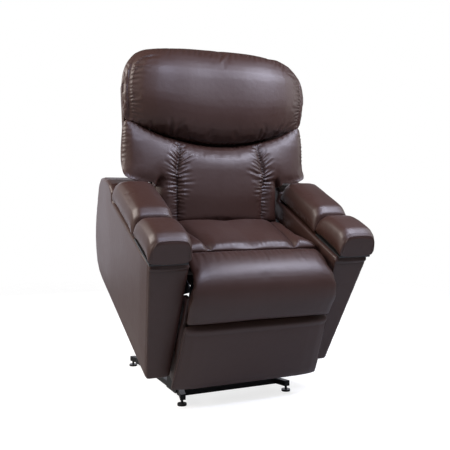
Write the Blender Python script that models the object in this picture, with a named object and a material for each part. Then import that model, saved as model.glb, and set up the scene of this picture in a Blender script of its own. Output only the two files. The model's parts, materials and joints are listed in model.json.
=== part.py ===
"""Lift recliner chair, raised and tilted forward on its lifting base.

Metres, +Z up, +Y towards the back of the chair. The origin is on the floor, in the middle of the chair's box.
The upper chair is drawn in its own frame: x across, v rearwards and w upwards from the lower front edge of the
arms. That frame hangs on the empty chair_frame, which holds the tilt.
"""

import math

import bmesh
import bpy
from mathutils import Vector
from mathutils.geometry import convex_hull_2d

# --- overall sizes and the rest pose ---
ARM_OUTER_HALF = 0.440  # half the overall width, at the top of the arm panels
ARM_FOOT_HALF = 0.385  # the arms draw in towards the floor
ARM_INNER_HALF = 0.292
ARM_HEIGHT = 0.4857  # top of the arm panel, under the pads
ARM_DEPTH = 0.825
TILT = math.radians(25.26)
FRONT_FEET_Y = -0.18684  # line of the front feet, ahead of the middle of the chair
CHAIR_Y = -0.0498  # lower front edge of the arms, behind the front feet
CHAIR_Z = 0.1242
GAP = 0.0003  # between pieces that touch
RUN = 0.0003  # radial clearance of a pin in its eye

# --- base ---
RAIL = 0.025
RAIL_X = 0.2055
RAIL_TOP = 0.045
BAR_Y = 0.067
BAR_DEPTH = 0.028
BAR_HALF = 0.218
REAR_BAR_Y = 0.612
FOOT_SPAN = 0.653
FRONT_FOOT_X = 0.2265
REAR_FOOT_X = 0.2212
FOOT_DISC_R = 0.018
FOOT_DISC_H = 0.008
FOOT_STEM_R = 0.005
OUTRIGGER = 0.022
PLATE = 0.005  # bracket and lever plates
LINK_T = 0.008

# --- lifting linkage, in the base's frame: y behind the front feet ---
LIFT_Y, LIFT_Z = 0.060, 0.1017
GUIDE_Y, GUIDE_Z = 0.130, 0.195
LIFT_PIN_R = 0.010
GUIDE_PIN_R = 0.008
LIFT_TUBE_AT = 0.200  # along the lift arm
LIFT_TUBE_R = 0.016
LUG_AT, LUG_REACH = 0.240, 0.070  # the motor's pin, along the lift arm and off it
SLOT_BACK, SLOT_FORE, SLOT_SIDE = 0.0135, 0.0125, 0.003  # play of the open guide pivot
LIFT_MOTOR_Y, LIFT_MOTOR_Z = 0.620, 0.080

# --- upper chair, in its own frame (v, w) ---
PLATE_X = 0.280
LIFT_HEAD_V, LIFT_HEAD_W = 0.465, 0.040
LIFT_HEAD_R = 0.014
GUIDE_HEAD_V, GUIDE_HEAD_W = 0.395, 0.135
LEG_V, LEG_W = 0.010, 0.383
LEG_PIN_R = 0.006
BACK_V, BACK_W = 0.520, 0.400
BACK_PIN_R = 0.007
BACK_LEAN = math.radians(26.0)
LEG_MOTOR_V, LEG_MOTOR_W = 0.470, 0.170
LEG_LUG_V, LEG_LUG_W = 0.030, 0.250
BACK_MOTOR_V, BACK_MOTOR_W = 0.560, 0.080
BACK_LUG_V, BACK_LUG_W = 0.600, 0.360
CROSS_R = 0.0125
SIDE_MOTOR_X = 0.120

# --- seat, legrest and back ---
SEAT_HALF = 0.2775
SEAT_FRONT_V, SEAT_FRONT_W = 0.1085, 0.468
SEAT_REAR_V = 0.416
SEAT_UNDER = 0.3355
SWEEP_R = 0.1335  # the seat's front face keeps this far from the legrest's pivot
DECK_LOW, DECK_TOP = 0.292, 0.332
DECK_FRONT_V, DECK_REAR_V, DECK_RAIL = 0.165, 0.400, 0.030
SPRING_R = 0.002
SPRING_SWAY = 0.018
SPRING_BENDS = 9
BOLSTER_HALF = 0.2765  # where it passes between the arms
LEG_HALF = 0.294
PANEL_FOOT_HALF = 0.308
LEG_SKIN_V = -0.0210  # back of the legrest pads
BOARD_T = 0.015
BOARD_LOW, BOARD_TOP = -0.015, 0.350
BOARD_HALF = 0.268
BACK_HALF_LOW = 0.274
BACK_HALF = 0.405
BACK_LOW, BACK_TOP = -0.030, 0.672  # along the back, from its pivot
BACK_SEAT = 0.0123  # the pads lie on the back's frame
CREASE_LOW, CREASE_RISE = 0.295, 0.100
WING_X, WING_ROOT = 0.225, 0.165  # where the wings begin
WING_CLEAR, WING_SLOPE = 0.262, 1.2  # they thin out below this height, to pass over the arms
CHANNEL_X = 0.190
BACK_FRAME_FRONT, BACK_FRAME_REAR = 0.012, -0.008
SHELL_DEPTH = 0.050
STILE_X = 0.262

# --- arms ---
CAP_FRONT, CAP_REAR = -0.012, 0.180
PAD_FRONT, PAD_REAR = 0.186, 0.487
PAD_IN, PAD_OUT = 0.297, 0.446
BOARD_H = 0.007
CAP_TOP = 0.592
PAD_TOP = 0.590
SHOULDER_V, SHOULDER_W = 0.492, 0.537
WELL_FRONT, WELL_REAR = 0.022, 0.162
WELL_IN, WELL_OUT = 0.318, 0.412
WELL_DEPTH = 0.105
TRAY_WALL = 0.0025

LEATHER = (0.055, 0.034, 0.030)
DARK_LEATHER = (0.040, 0.025, 0.022)
BLACK = (0.012, 0.012, 0.013)
ZINC = (0.45, 0.45, 0.46)
BOARD_COLOUR = (0.32, 0.22, 0.13)
MOTOR_COLOUR = (0.03, 0.03, 0.032)


def clear_scene():
    for thing in list(bpy.data.objects):
        bpy.data.objects.remove(thing, do_unlink=True)


def finish_of(name, colour, roughness, metallic):
    material = bpy.data.materials.new(name)
    material.use_nodes = True
    shader = material.node_tree.nodes["Principled BSDF"]
    shader.inputs["Base Color"].default_value = (*colour, 1.0)
    shader.inputs["Roughness"].default_value = roughness
    shader.inputs["Metallic"].default_value = metallic
    return material


def hang(name, parent, at=(0.0, 0.0), angle=0.0):
    """An empty in its parent's y-z plane: a frame to draw in, or the axis that pieces turn on."""
    empty = bpy.data.objects.new(name, None)
    bpy.context.collection.objects.link(empty)
    empty.parent = parent
    empty.location = (0.0, at[0], at[1])
    empty.rotation_euler = (angle, 0.0, 0.0)
    return empty


def face_outwards(mesh):
    mesh.normal_update()
    bmesh.ops.recalc_face_normals(mesh, faces=mesh.faces)
    if mesh.calc_volume(signed=True) < 0.0:
        bmesh.ops.reverse_faces(mesh, faces=mesh.faces)


def add(name, mesh, frame, finish, smooth=30.0):
    """A node: mesh, drawn in frame's own coordinates, or in those of frame's parent if frame is (axis, (y, z))."""
    face_outwards(mesh)
    data = bpy.data.meshes.new(name)
    mesh.to_mesh(data)
    mesh.free()
    piece = bpy.data.objects.new(name, data)
    bpy.context.collection.objects.link(piece)
    if isinstance(frame, tuple):
        axis, (y, z) = frame
        piece.parent = axis
        piece.location = (0.0, -y, -z)
    else:
        piece.parent = frame
    data.materials.append(finish_of(name, *finish))
    data.shade_smooth()
    data.set_sharp_from_angle(angle=math.radians(smooth))
    return piece


def join_or_cut(piece, tool_mesh, operation):
    """A Boolean with a hidden tool that shares the piece's parent."""
    face_outwards(tool_mesh)
    data = bpy.data.meshes.new(piece.name + "_tool")
    tool_mesh.to_mesh(data)
    tool_mesh.free()
    tool = bpy.data.objects.new(piece.name + "_tool", data)
    bpy.context.collection.objects.link(tool)
    tool.parent = piece.parent
    tool.location = piece.location
    tool.hide_render = True
    tool.display_type = "WIRE"
    modifier = piece.modifiers.new("tool", "BOOLEAN")
    modifier.object = tool
    modifier.operation = operation
    modifier.solver = "EXACT"
    return tool


# --- outlines in the y-z plane ---
def ring(y, z, radius, count=20):
    turns = [2.0 * math.pi * (k + 0.5) / count for k in range(count)]
    return [(y + radius * math.cos(a), z + radius * math.sin(a)) for a in turns]


def hull(*shapes):
    """The outline of a stretched band round circles (y, z, r) and points (y, z)."""
    points = []
    for shape in shapes:
        points += ring(*shape) if len(shape) == 3 else [shape]
    return [points[k] for k in convex_hull_2d(points)]


def eased(before, after):
    """The slope at a knot between two segments; it never lets the curve swing past the knot."""
    return [0.0 if p * q <= 0.0 else 2.0 * p * q / (p + q) for p, q in zip(before, after)]


def smooth_curve(points, count):
    """count + 1 points along a smooth curve through the given ones, evenly spaced by chord."""
    knots = [Vector(p) for p in points]
    lengths = [0.0]
    for a, b in zip(knots, knots[1:]):
        lengths.append(lengths[-1] + (b - a).length)
    chords = [(b - a) / (b - a).length for a, b in zip(knots, knots[1:])]
    slopes = [chords[0]] + [Vector(eased(p, q)) for p, q in zip(chords, chords[1:])] + [chords[-1]]
    found = []
    for step in range(count + 1):
        along = lengths[-1] * step / count
        k = max(i for i in range(len(chords)) if lengths[i] <= along or i == 0)
        step_length = lengths[k + 1] - lengths[k]
        t = (along - lengths[k]) / step_length
        blend = t * t * (3.0 - 2.0 * t)
        leave = step_length * t * (1.0 - t) ** 2
        arrive = step_length * t * t * (t - 1.0)
        found.append(knots[k].lerp(knots[k + 1], blend) + slopes[k] * leave + slopes[k + 1] * arrive)
    return found


# --- meshes ---
def prism(outline, x0, x1):
    mesh = bmesh.new()
    face = mesh.faces.new([mesh.verts.new((x0, y, z)) for y, z in outline])
    grown = bmesh.ops.extrude_face_region(mesh, geom=[face])
    moved = [v for v in grown["geom"] if isinstance(v, bmesh.types.BMVert)]
    bmesh.ops.translate(mesh, verts=moved, vec=(x1 - x0, 0.0, 0.0))
    return mesh


def block(x0, x1, y0, y1, z0, z1, edge=0.0):
    mesh = bmesh.new()
    bmesh.ops.create_cube(mesh, size=1.0)
    for vert in mesh.verts:
        vert.co.x = x0 if vert.co.x < 0 else x1
        vert.co.y = y0 if vert.co.y < 0 else y1
        vert.co.z = z0 if vert.co.z < 0 else z1
    if edge:
        bmesh.ops.bevel(mesh, geom=mesh.edges[:], offset=edge, segments=1, affect="EDGES")
    return mesh


def rod(start, end, radius, count=16):
    mesh = bmesh.new()
    start, end = Vector(start), Vector(end)
    bmesh.ops.create_cone(
        mesh, cap_ends=True, segments=count, radius1=radius, radius2=radius, depth=(end - start).length
    )
    turn = Vector((0.0, 0.0, 1.0)).rotation_difference(end - start).to_matrix()
    for vert in mesh.verts:
        vert.co = turn @ vert.co + (start + end) / 2
    return mesh


def merged(*meshes):
    """Meshes drawn as one, for a cutter of several holes that don't meet."""
    whole = bmesh.new()
    for mesh in meshes:
        data = bpy.data.meshes.new("scratch")
        mesh.to_mesh(data)
        mesh.free()
        whole.from_mesh(data)
        bpy.data.meshes.remove(data)
    return whole


def bores(holes, x0, x1):
    """Cutters for round holes (y, z, r) through plates that lie between x0 and x1."""
    lo, hi = min(x0, x1) - 0.002, max(x0, x1) + 0.002
    return merged(*[prism(ring(y, z, r), lo, hi) for y, z, r in holes])


def pad(columns, faces_at, half_at, centre_x=0.0, edge=8.0):
    """A stuffed form. faces_at(x, j) gives the front and back points (v, w) of station j at x; the two skins meet
    in a rim at both sides and at the first and last stations."""
    mesh = bmesh.new()
    count = len(columns)
    stations = faces_at.stations
    verts = {}
    for j in range(stations + 1):
        for i, u in enumerate(columns):
            x = centre_x + half_at(j / stations) * u
            front, back = faces_at(x, j)
            middle = (front + back) / 2
            keep = (1.0 - abs(u) ** edge) ** 0.5
            on_rim = abs(u) == 1.0 or j in (0, stations)
            sides = (middle,) if on_rim else (middle + (front - middle) * keep, middle + (back - middle) * keep)
            made = [mesh.verts.new((x, p.x, p.y)) for p in sides]
            verts[0, i, j], verts[1, i, j] = made[0], made[-1]
    for side in (0, 1):
        for j in range(stations):
            for i in range(count - 1):
                quad = [verts[side, i, j], verts[side, i + 1, j], verts[side, i + 1, j + 1], verts[side, i, j + 1]]
                mesh.faces.new(quad)
    return mesh


def skins(front_points, back_points, stations, relief=None):
    """The two skins of a pad from two curves that share their ends; relief(x, t) puffs the front one out."""
    front = smooth_curve(front_points, stations)
    back = smooth_curve(back_points, stations)

    def faces_at(x, j):
        if relief is None or j in (0, stations):
            return front[j], back[j]
        out = (front[j] - back[j]).normalized()
        return front[j] + out * relief(x, j / stations), back[j]

    faces_at.stations = stations
    return faces_at


def evenly(count, power=1.0):
    """Columns from -1 to 1, closer together at the sides when power is below 1."""
    found = []
    for k in range(count + 1):
        u = -1.0 + 2.0 * k / count
        found.append(math.copysign(abs(math.sin(u * math.pi / 2)) ** (1.0 / power), u))
    return found


def groove(distance, width, depth):
    return -depth * math.exp(-((distance / width) ** 2))


BLACK_STEEL = (BLACK, 0.42, 0.6)
BRIGHT_STEEL = (ZINC, 0.35, 0.9)
HIDE = (LEATHER, 0.42, 0.0)
DARK_HIDE = (DARK_LEATHER, 0.45, 0.0)
TIMBER = (BOARD_COLOUR, 0.7, 0.0)
PLASTIC = (MOTOR_COLOUR, 0.5, 0.0)


# --- base ---
def make_base(base):
    low = RAIL_TOP - BAR_DEPTH
    bar_front, bar_back = BAR_Y - BAR_DEPTH / 2, BAR_Y + BAR_DEPTH / 2
    rear_front, rear_back = REAR_BAR_Y - BAR_DEPTH / 2, REAR_BAR_Y + BAR_DEPTH / 2
    front_bar = add("base_front_bar", block(-BAR_HALF, BAR_HALF, bar_front, bar_back, low, RAIL_TOP, 0.002), base, BLACK_STEEL)
    rear_bar = add("base_rear_bar", block(-BAR_HALF, BAR_HALF, rear_front, rear_back, low, RAIL_TOP, 0.002), base, BLACK_STEEL)
    for side, word in ((-1, "left"), (1, "right")):
        x0, x1 = side * RAIL_X - RAIL / 2, side * RAIL_X + RAIL / 2
        rail = block(x0, x1, bar_back + GAP, rear_front - GAP, RAIL_TOP - RAIL, RAIL_TOP, 0.002)
        add("base_side_rail_" + word, rail, base, BLACK_STEEL)
        join_or_cut(front_bar, outrigger(side * FRONT_FOOT_X, 0.0, side * RAIL_X, BAR_Y), "UNION")
        join_or_cut(rear_bar, outrigger(side * REAR_FOOT_X, FOOT_SPAN, side * RAIL_X, REAR_BAR_Y), "UNION")
        make_foot("front_" + word, base, side * FRONT_FOOT_X, 0.0)
        make_foot("rear_" + word, base, side * REAR_FOOT_X, FOOT_SPAN)
        make_bracket(word, side, base)
    reach = RAIL_X + RAIL / 2 + GAP + PLATE + GAP + LINK_T + 0.001
    shaft = prism(ring(LIFT_Y, LIFT_Z, LIFT_PIN_R), -reach, reach)
    add("base_pivot_shaft", shaft, base, BRIGHT_STEEL)
    make_motor_bracket(base)


def outrigger(foot_x, foot_y, rail_x, bar_y):
    """A short square tube, welded to the bar at rail_x, that carries a levelling foot at its end."""
    half = OUTRIGGER / 2
    tip_y = foot_y + math.copysign(half, foot_y - bar_y)
    top = RAIL_TOP - 0.001
    mesh = block(-half, half, 0.0, 1.0, top - OUTRIGGER, top)
    for vert in mesh.verts:
        x, y = (rail_x, bar_y) if vert.co.y < 0.5 else (foot_x, tip_y)
        vert.co.x += x
        vert.co.y = y
    return mesh


def make_foot(word, base, x, y):
    """A levelling foot: a flat disc on its threaded stem."""
    disc = rod((x, y, 0.0), (x, y, FOOT_DISC_H), FOOT_DISC_R, 20)
    foot = add("levelling_foot_" + word, disc, base, BLACK_STEEL)
    under = RAIL_TOP - 0.001 - OUTRIGGER - GAP
    join_or_cut(foot, rod((x, y, FOOT_DISC_H - 0.002), (x, y, under), FOOT_STEM_R, 12), "UNION")


def make_bracket(word, side, base):
    """The plate on the rail's outer side that carries both links; the guide link's pin is part of it."""
    x0 = side * (RAIL_X + RAIL / 2 + GAP)
    x1 = x0 + side * PLATE
    sole = RAIL_TOP - RAIL + 0.002
    after_bar = BAR_Y + BAR_DEPTH / 2
    outline = hull((LIFT_Y, LIFT_Z, 0.022), (GUIDE_Y, GUIDE_Z, 0.018), (after_bar + 0.002, sole), (0.185, sole))
    plate = add("lift_bracket_" + word, prism(outline, x0, x1), base, BLACK_STEEL)
    join_or_cut(plate, bores([(LIFT_Y, LIFT_Z, LIFT_PIN_R + RUN)], x0, x1), "DIFFERENCE")
    pin_end = x0 - side * (GAP + LINK_T + 0.002)
    join_or_cut(plate, prism(ring(GUIDE_Y, GUIDE_Z, GUIDE_PIN_R), x0 + side * 0.001, pin_end), "UNION")


def make_motor_bracket(base):
    """Two ears on the rear bar, joined by the pin that the lift motor swings on."""
    ear_x = GEARBOX_HALF + GAP
    sole = RAIL_TOP + GAP
    outline = hull((LIFT_MOTOR_Y, LIFT_MOTOR_Z, 0.014), (REAR_BAR_Y - 0.013, sole), (REAR_BAR_Y + 0.013, sole))
    ears = merged(prism(outline, ear_x, ear_x + PLATE), prism(outline, -ear_x - PLATE, -ear_x))
    bracket = add("lift_motor_bracket", ears, base, BLACK_STEEL)
    pin = prism(ring(LIFT_MOTOR_Y, LIFT_MOTOR_Z, MOTOR_PIN_R), -ear_x - PLATE - 0.003, ear_x + PLATE + 0.003)
    join_or_cut(bracket, pin, "UNION")


# --- lifting linkage ---
def make_lift_links(base, chair):
    head = chair_point(LIFT_HEAD_V, LIFT_HEAD_W)
    length, angle = span((LIFT_Y, LIFT_Z), head)
    frame = hang("lift_axis", base, (LIFT_Y, LIFT_Z), angle)
    inner = RAIL_X + RAIL / 2 + GAP + PLATE + GAP
    for side, word in ((-1, "left"), (1, "right")):
        x0, x1 = side * inner, side * (inner + LINK_T)
        outline = hull((0.0, 0.0, 0.019), (length, 0.0, 0.024))
        arm = add("lift_arm_" + word, prism(outline, x0, x1), frame, BLACK_STEEL)
        holes = [(0.0, 0.0, LIFT_PIN_R + RUN), (length, 0.0, LIFT_HEAD_R + RUN)]
        join_or_cut(arm, bores(holes, x0, x1), "DIFFERENCE")
    half = inner - GAP
    tube = add("lift_cross_tube", prism(ring(LIFT_TUBE_AT, 0.0, LIFT_TUBE_R), -half, half), frame, BLACK_STEEL)
    lug = hull((LIFT_TUBE_AT, 0.0, 0.012), (LUG_AT, LUG_REACH, 0.0125))
    join_or_cut(tube, prism(lug, -LUG_HALF, LUG_HALF), "UNION")
    make_guides(base)
    pin = Vector((LIFT_Y, LIFT_Z)) + turned((LUG_AT, LUG_REACH), angle)
    make_actuator("lift", base, (LIFT_MOTOR_Y, LIFT_MOTOR_Z), pin, 0.0, 0.262, 0.190, MOTOR_PIN_R)


def make_guides(base):
    """Guide links; each upper eye is a slot, because that pivot is left open."""
    length, angle = span((GUIDE_Y, GUIDE_Z), chair_point(GUIDE_HEAD_V, GUIDE_HEAD_W))
    frame = hang("guide_axis", base, (GUIDE_Y, GUIDE_Z), angle)
    outer = RAIL_X + RAIL / 2
    slot_r = GUIDE_PIN_R + SLOT_SIDE
    for side, word in ((-1, "left"), (1, "right")):
        x0, x1 = sorted((side * (outer - LINK_T), side * outer))
        tip = length + SLOT_FORE
        outline = hull((0.0, 0.0, 0.016), (length - SLOT_BACK, 0.0, slot_r + 0.006), (tip, 0.0, slot_r + 0.006))
        link = add("guide_link_" + word, prism(outline, x0, x1), frame, BLACK_STEEL)
        slot = prism(hull((length - SLOT_BACK, 0.0, slot_r), (tip, 0.0, slot_r)), x0 - 0.01, x1 + 0.01)
        eye = prism(ring(0.0, 0.0, GUIDE_PIN_R + RUN), x0 - 0.01, x1 + 0.01)
        join_or_cut(link, merged(slot, eye), "DIFFERENCE")


def turned(point, angle):
    y, z = point
    return Vector((y * math.cos(angle) - z * math.sin(angle), y * math.sin(angle) + z * math.cos(angle)))


def chair_point(v, w):
    """A point of the upper chair in the base's frame."""
    return Vector((CHAIR_Y, CHAIR_Z)) + turned((v, w), TILT)


def span(start, end):
    reach = Vector(end) - Vector(start)
    return reach.length, math.atan2(reach.y, reach.x)


# --- linear motors ---
GEARBOX_HALF = 0.022
MOTOR_PIN_R = 0.008
TUBE_R = 0.0165
SCREW_R = 0.0095
CAN_R = 0.021
CAN_OFF = 0.0455
CAN_LENGTH = 0.107
LUG_HALF = 0.0075
FORK_T = 0.006
FORK_R = 0.013
FORK_ROOT = 0.044


def make_actuator(word, parent, foot, pin, x, tube_end, screw_start, bore_r):
    """A linear motor from the pivot at foot to the lug at pin: gearbox, motor can and guide tube in one housing,
    and the sliding rod with its fork. The fork straddles the lug, where the loop of links is left open."""
    length, angle = span(foot, pin)
    frame = hang(word + "_motor_axis", parent, foot, angle)
    box = block(x - GEARBOX_HALF, x + GEARBOX_HALF, -0.024, 0.060, -0.024, 0.024, 0.003)
    housing = add(word + "_motor", box, frame, PLASTIC)
    join_or_cut(housing, rod((x, 0.050, 0.0), (x, tube_end, 0.0), TUBE_R), "UNION")
    can_x = x + CAN_OFF
    neck = block(x, can_x, 0.024, 0.056, -0.016, 0.016)
    join_or_cut(housing, neck, "UNION")
    join_or_cut(housing, rod((can_x, 0.020, 0.0), (can_x, 0.020 + CAN_LENGTH, 0.0), CAN_R), "UNION")
    join_or_cut(housing, rod((x, bore_r + 0.008, 0.0), (x, tube_end + 0.002, 0.0), SCREW_R + 0.0006), "DIFFERENCE")
    join_or_cut(housing, bores([(0.0, 0.0, bore_r + RUN)], x - GEARBOX_HALF, x + GEARBOX_HALF), "DIFFERENCE")
    root = length - FORK_ROOT
    screw = add(word + "_rod", rod((x, screw_start, 0.0), (x, root + 0.001, 0.0), SCREW_R), frame, BRIGHT_STEEL)
    inner = LUG_HALF + GAP
    outer = inner + FORK_T
    join_or_cut(screw, block(x - outer, x + outer, root - 0.010, root, -0.008, 0.008), "UNION")
    for x0, x1 in ((x - outer, x - inner), (x + inner, x + outer)):
        plate = prism(hull((length, 0.0, FORK_R), (root - 0.005, 0.008), (root - 0.005, -0.008)), x0, x1)
        join_or_cut(screw, plate, "UNION")


# --- mechanism of the upper chair ---
def make_mechanism(chair):
    for side, word in ((-1, "left"), (1, "right")):
        x0, x1 = side * PLATE_X, side * (PLATE_X + PLATE)
        outline = hull(
            (LEG_V, LEG_W, 0.018),
            (BACK_V, BACK_W, 0.020),
            (LIFT_HEAD_V, LIFT_HEAD_W, 0.028),
            (BACK_MOTOR_V, BACK_MOTOR_W, 0.020),
        )
        plate = add("side_plate_" + word, prism(outline, x0, x1), chair, BLACK_STEEL)
        stubs = (
            (LIFT_HEAD_V, LIFT_HEAD_W, LIFT_HEAD_R, RAIL_X + RAIL / 2 + GAP + PLATE + GAP - 0.002),
            (GUIDE_HEAD_V, GUIDE_HEAD_W, GUIDE_PIN_R, RAIL_X + RAIL / 2 - LINK_T - 0.003),
            (LEG_V, LEG_W, LEG_PIN_R, HINGE_X - 0.002),
            (BACK_V, BACK_W, BACK_PIN_R, STILE_X - 0.002),
        )
        for v, w, radius, end in stubs:
            join_or_cut(plate, prism(ring(v, w, radius), side * (PLATE_X + 0.001), side * end), "UNION")
        windows = [(0.185, 0.345, 0.022), (0.270, 0.330, 0.026), (0.360, 0.300, 0.030), (0.300, 0.235, 0.020)]
        join_or_cut(plate, bores(windows, x0, x1), "DIFFERENCE")
        rail_x0 = PLATE_X + PLATE + GAP
        rail = block(side * rail_x0, side * (ARM_INNER_HALF - GAP), 0.060, 0.470, 0.345, 0.375)
        add("arm_rail_" + word, rail, chair, BLACK_STEEL)
    inside = PLATE_X - GAP
    for name, v0 in (("seat_front_rail", DECK_FRONT_V), ("seat_rear_rail", DECK_REAR_V)):
        rail = block(-inside, inside, v0, v0 + DECK_RAIL, DECK_LOW, DECK_TOP, 0.002)
        add(name, rail, chair, TIMBER)
    add("rear_cross_tube", prism(ring(LEG_MOTOR_V, LEG_MOTOR_W, CROSS_R), -inside, inside), chair, BLACK_STEEL)
    reach = SIDE_MOTOR_X - GEARBOX_HALF - 0.004
    add("recline_anchor_tube", prism(ring(BACK_MOTOR_V, BACK_MOTOR_W, CROSS_R), -inside, -reach), chair, BLACK_STEEL)
    make_springs(chair)
    make_control_box(chair)


def make_springs(chair):
    """Zigzag seat springs, stretched between the two deck rails."""
    start, end = DECK_FRONT_V + DECK_RAIL + GAP, DECK_REAR_V - GAP
    height = DECK_TOP - 0.008
    for number, x in enumerate((-0.195, -0.065, 0.065, 0.195), 1):
        curve = bpy.data.curves.new(f"seat_spring_{number}", "CURVE")
        curve.dimensions = "3D"
        curve.bevel_depth = SPRING_R
        curve.bevel_resolution = 0
        curve.use_fill_caps = True
        points = [(x, start), (x, start + 0.008)]
        steps = SPRING_BENDS * 4
        for k in range(1, steps):
            t = k / steps
            points.append((x + SPRING_SWAY * math.sin(math.pi * SPRING_BENDS * t), start + 0.008 + (end - start - 0.016) * t))
        points += [(x, end - 0.008), (x, end)]
        spline = curve.splines.new("POLY")
        spline.points.add(len(points) - 1)
        for point, (px, pv) in zip(spline.points, points):
            point.co = (px, pv, height, 1.0)
        spring = bpy.data.objects.new(f"seat_spring_{number}", curve)
        bpy.context.collection.objects.link(spring)
        spring.parent = chair
        curve.materials.append(finish_of(spring.name, *BRIGHT_STEEL))


def make_control_box(chair):
    """The control box that feeds the motors, hung from the rear deck rail, with its lead socket."""
    box = block(0.030, 0.110, 0.395, 0.445, 0.245, DECK_LOW - GAP, 0.004)
    case = add("control_box", box, chair, PLASTIC)
    join_or_cut(case, block(0.055, 0.085, 0.440, 0.447, 0.258, 0.276), "DIFFERENCE")


# --- seat ---
def make_seat(chair):
    def sweep(degrees):
        turn = math.radians(degrees)
        return (LEG_V + SWEEP_R * math.cos(turn), LEG_W + SWEEP_R * math.sin(turn))

    front = (SEAT_FRONT_V, SEAT_FRONT_W)
    rear = (SEAT_REAR_V, 0.405)
    top = [front, (0.130, 0.479), (0.200, 0.474), (0.300, 0.459), (0.385, 0.447), (0.412, 0.432), rear]
    under = [front, sweep(22), sweep(6), sweep(-10), (0.160, SEAT_UNDER), (0.300, SEAT_UNDER), (0.400, SEAT_UNDER), rear]

    def relief(x, t):
        wing = CHANNEL_X - 0.012 + 0.045 * (t - 0.1)
        crown = 0.006 * math.sin(math.pi * min(1.0, abs(x) / wing)) if abs(x) < wing else 0.0
        return crown + groove(abs(x) - wing, 0.012, 0.010) - 0.004

    shape = skins(top, under, 16, relief)
    mesh = pad(wing_columns(SEAT_HALF), shape, lambda t: SEAT_HALF)
    add("seat_cushion", mesh, chair, HIDE, 60)


def wing_columns(half):
    """Columns across a seat or back, gathered at the sewn channels and the sides."""
    right = [0.0, 0.075, 0.145, 0.178, CHANNEL_X, 0.204, 0.235]
    scaled = [x / half for x in right]
    scaled += [0.95, 1.0] if half < 0.3 else [0.70, 0.82, 0.92, 0.98, 1.0]
    return [-u for u in reversed(scaled[1:])] + scaled


# --- legrest ---
HINGE_X = 0.262
HINGE_T = 0.006


def make_legrest(chair):
    axis = hang("legrest_axis", chair, (LEG_V, LEG_W))
    frame = (axis, (LEG_V, LEG_W))
    board_front = LEG_SKIN_V + GAP
    board_back = board_front + BOARD_T
    board = add("legrest_board", block(-BOARD_HALF, BOARD_HALF, board_front, board_back, BOARD_LOW, BOARD_TOP, 0.001), frame, TIMBER)
    lug = hull((LEG_LUG_V, LEG_LUG_W, 0.014), (board_back - 0.002, LEG_LUG_W - 0.022), (board_back - 0.002, LEG_LUG_W + 0.022))
    join_or_cut(board, prism(lug, SIDE_MOTOR_X - LUG_HALF, SIDE_MOTOR_X + LUG_HALF), "UNION")
    for side, word in ((-1, "left"), (1, "right")):
        x0, x1 = side * HINGE_X, side * (HINGE_X + HINGE_T)
        foot = board_back + GAP
        outline = hull((LEG_V, LEG_W, 0.0135), (foot, 0.120), (foot + 0.012, 0.120), (foot, BOARD_TOP))
        hinge = add("legrest_hinge_" + word, prism(outline, x0, x1), frame, BLACK_STEEL)
        join_or_cut(hinge, bores([(LEG_V, LEG_W, LEG_PIN_R + RUN)], x0, x1), "DIFFERENCE")
    make_bolster(frame)
    make_foot_panel(frame)
    lug_at = (LEG_LUG_V, LEG_LUG_W)
    make_actuator("legrest", chair, (LEG_MOTOR_V, LEG_MOTOR_W), lug_at, SIDE_MOTOR_X, 0.300, 0.035, CROSS_R)


def make_bolster(frame):
    """The calf pad: a roll that hangs over the legrest's pivot from the front seam of the seat."""
    flap = (0.1035, 0.4690)
    foot = (-0.046, 0.2665)
    front = [flap, (0.075, 0.481), (0.025, 0.474), (-0.025, 0.450), (-0.060, 0.405), (-0.073, 0.350), (-0.068, 0.298), (-0.058, 0.272), foot]
    back = [flap, (0.092, 0.440), (0.055, 0.427), (0.015, 0.419), (-0.010, 0.405), (-0.020, 0.380), (LEG_SKIN_V, 0.350), (LEG_SKIN_V, 0.300), (-0.026, 0.272), foot]
    stations = 20

    def half_at(t):
        wide = min(1.0, max(0.0, (t - 0.50) / 0.10))
        flap_in = min(1.0, t / 0.18)
        narrow = BOLSTER_HALF - 0.012 * (1 - flap_in)
        return narrow + (LEG_HALF - narrow) * wide

    def relief(x, t):
        return 0.004 * math.cos(math.pi * x / (2 * LEG_HALF)) * math.sin(math.pi * t)

    shape = skins(front, back, stations, relief)
    add("bolster", pad(evenly(14), shape, half_at), frame, HIDE, 60)


def make_foot_panel(frame):
    crease = (-0.046, 0.2625)
    hem = (-0.046, -0.026)
    front = [crease, (-0.060, 0.256), (-0.067, 0.220), (-0.072, 0.120), (-0.074, 0.020), (-0.066, -0.018), hem]
    back = [crease, (-0.027, 0.258), (LEG_SKIN_V, 0.230), (LEG_SKIN_V, 0.120), (LEG_SKIN_V, 0.010), (-0.027, -0.020), hem]
    shape = skins(front, back, 14)
    mesh = pad(evenly(12), shape, lambda t: LEG_HALF + (PANEL_FOOT_HALF - LEG_HALF) * t)
    add("foot_panel", mesh, frame, HIDE, 60)


# --- backrest ---
def back_point(s, d):
    """A point s up the back from its pivot and d in front of its frame."""
    rise = Vector((math.sin(BACK_LEAN), math.cos(BACK_LEAN))) * s
    return Vector((BACK_V, BACK_W)) + rise + Vector((-math.cos(BACK_LEAN), math.sin(BACK_LEAN))) * d


def back_outline(points):
    return [tuple(back_point(s, d)) for s, d in points]


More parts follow.
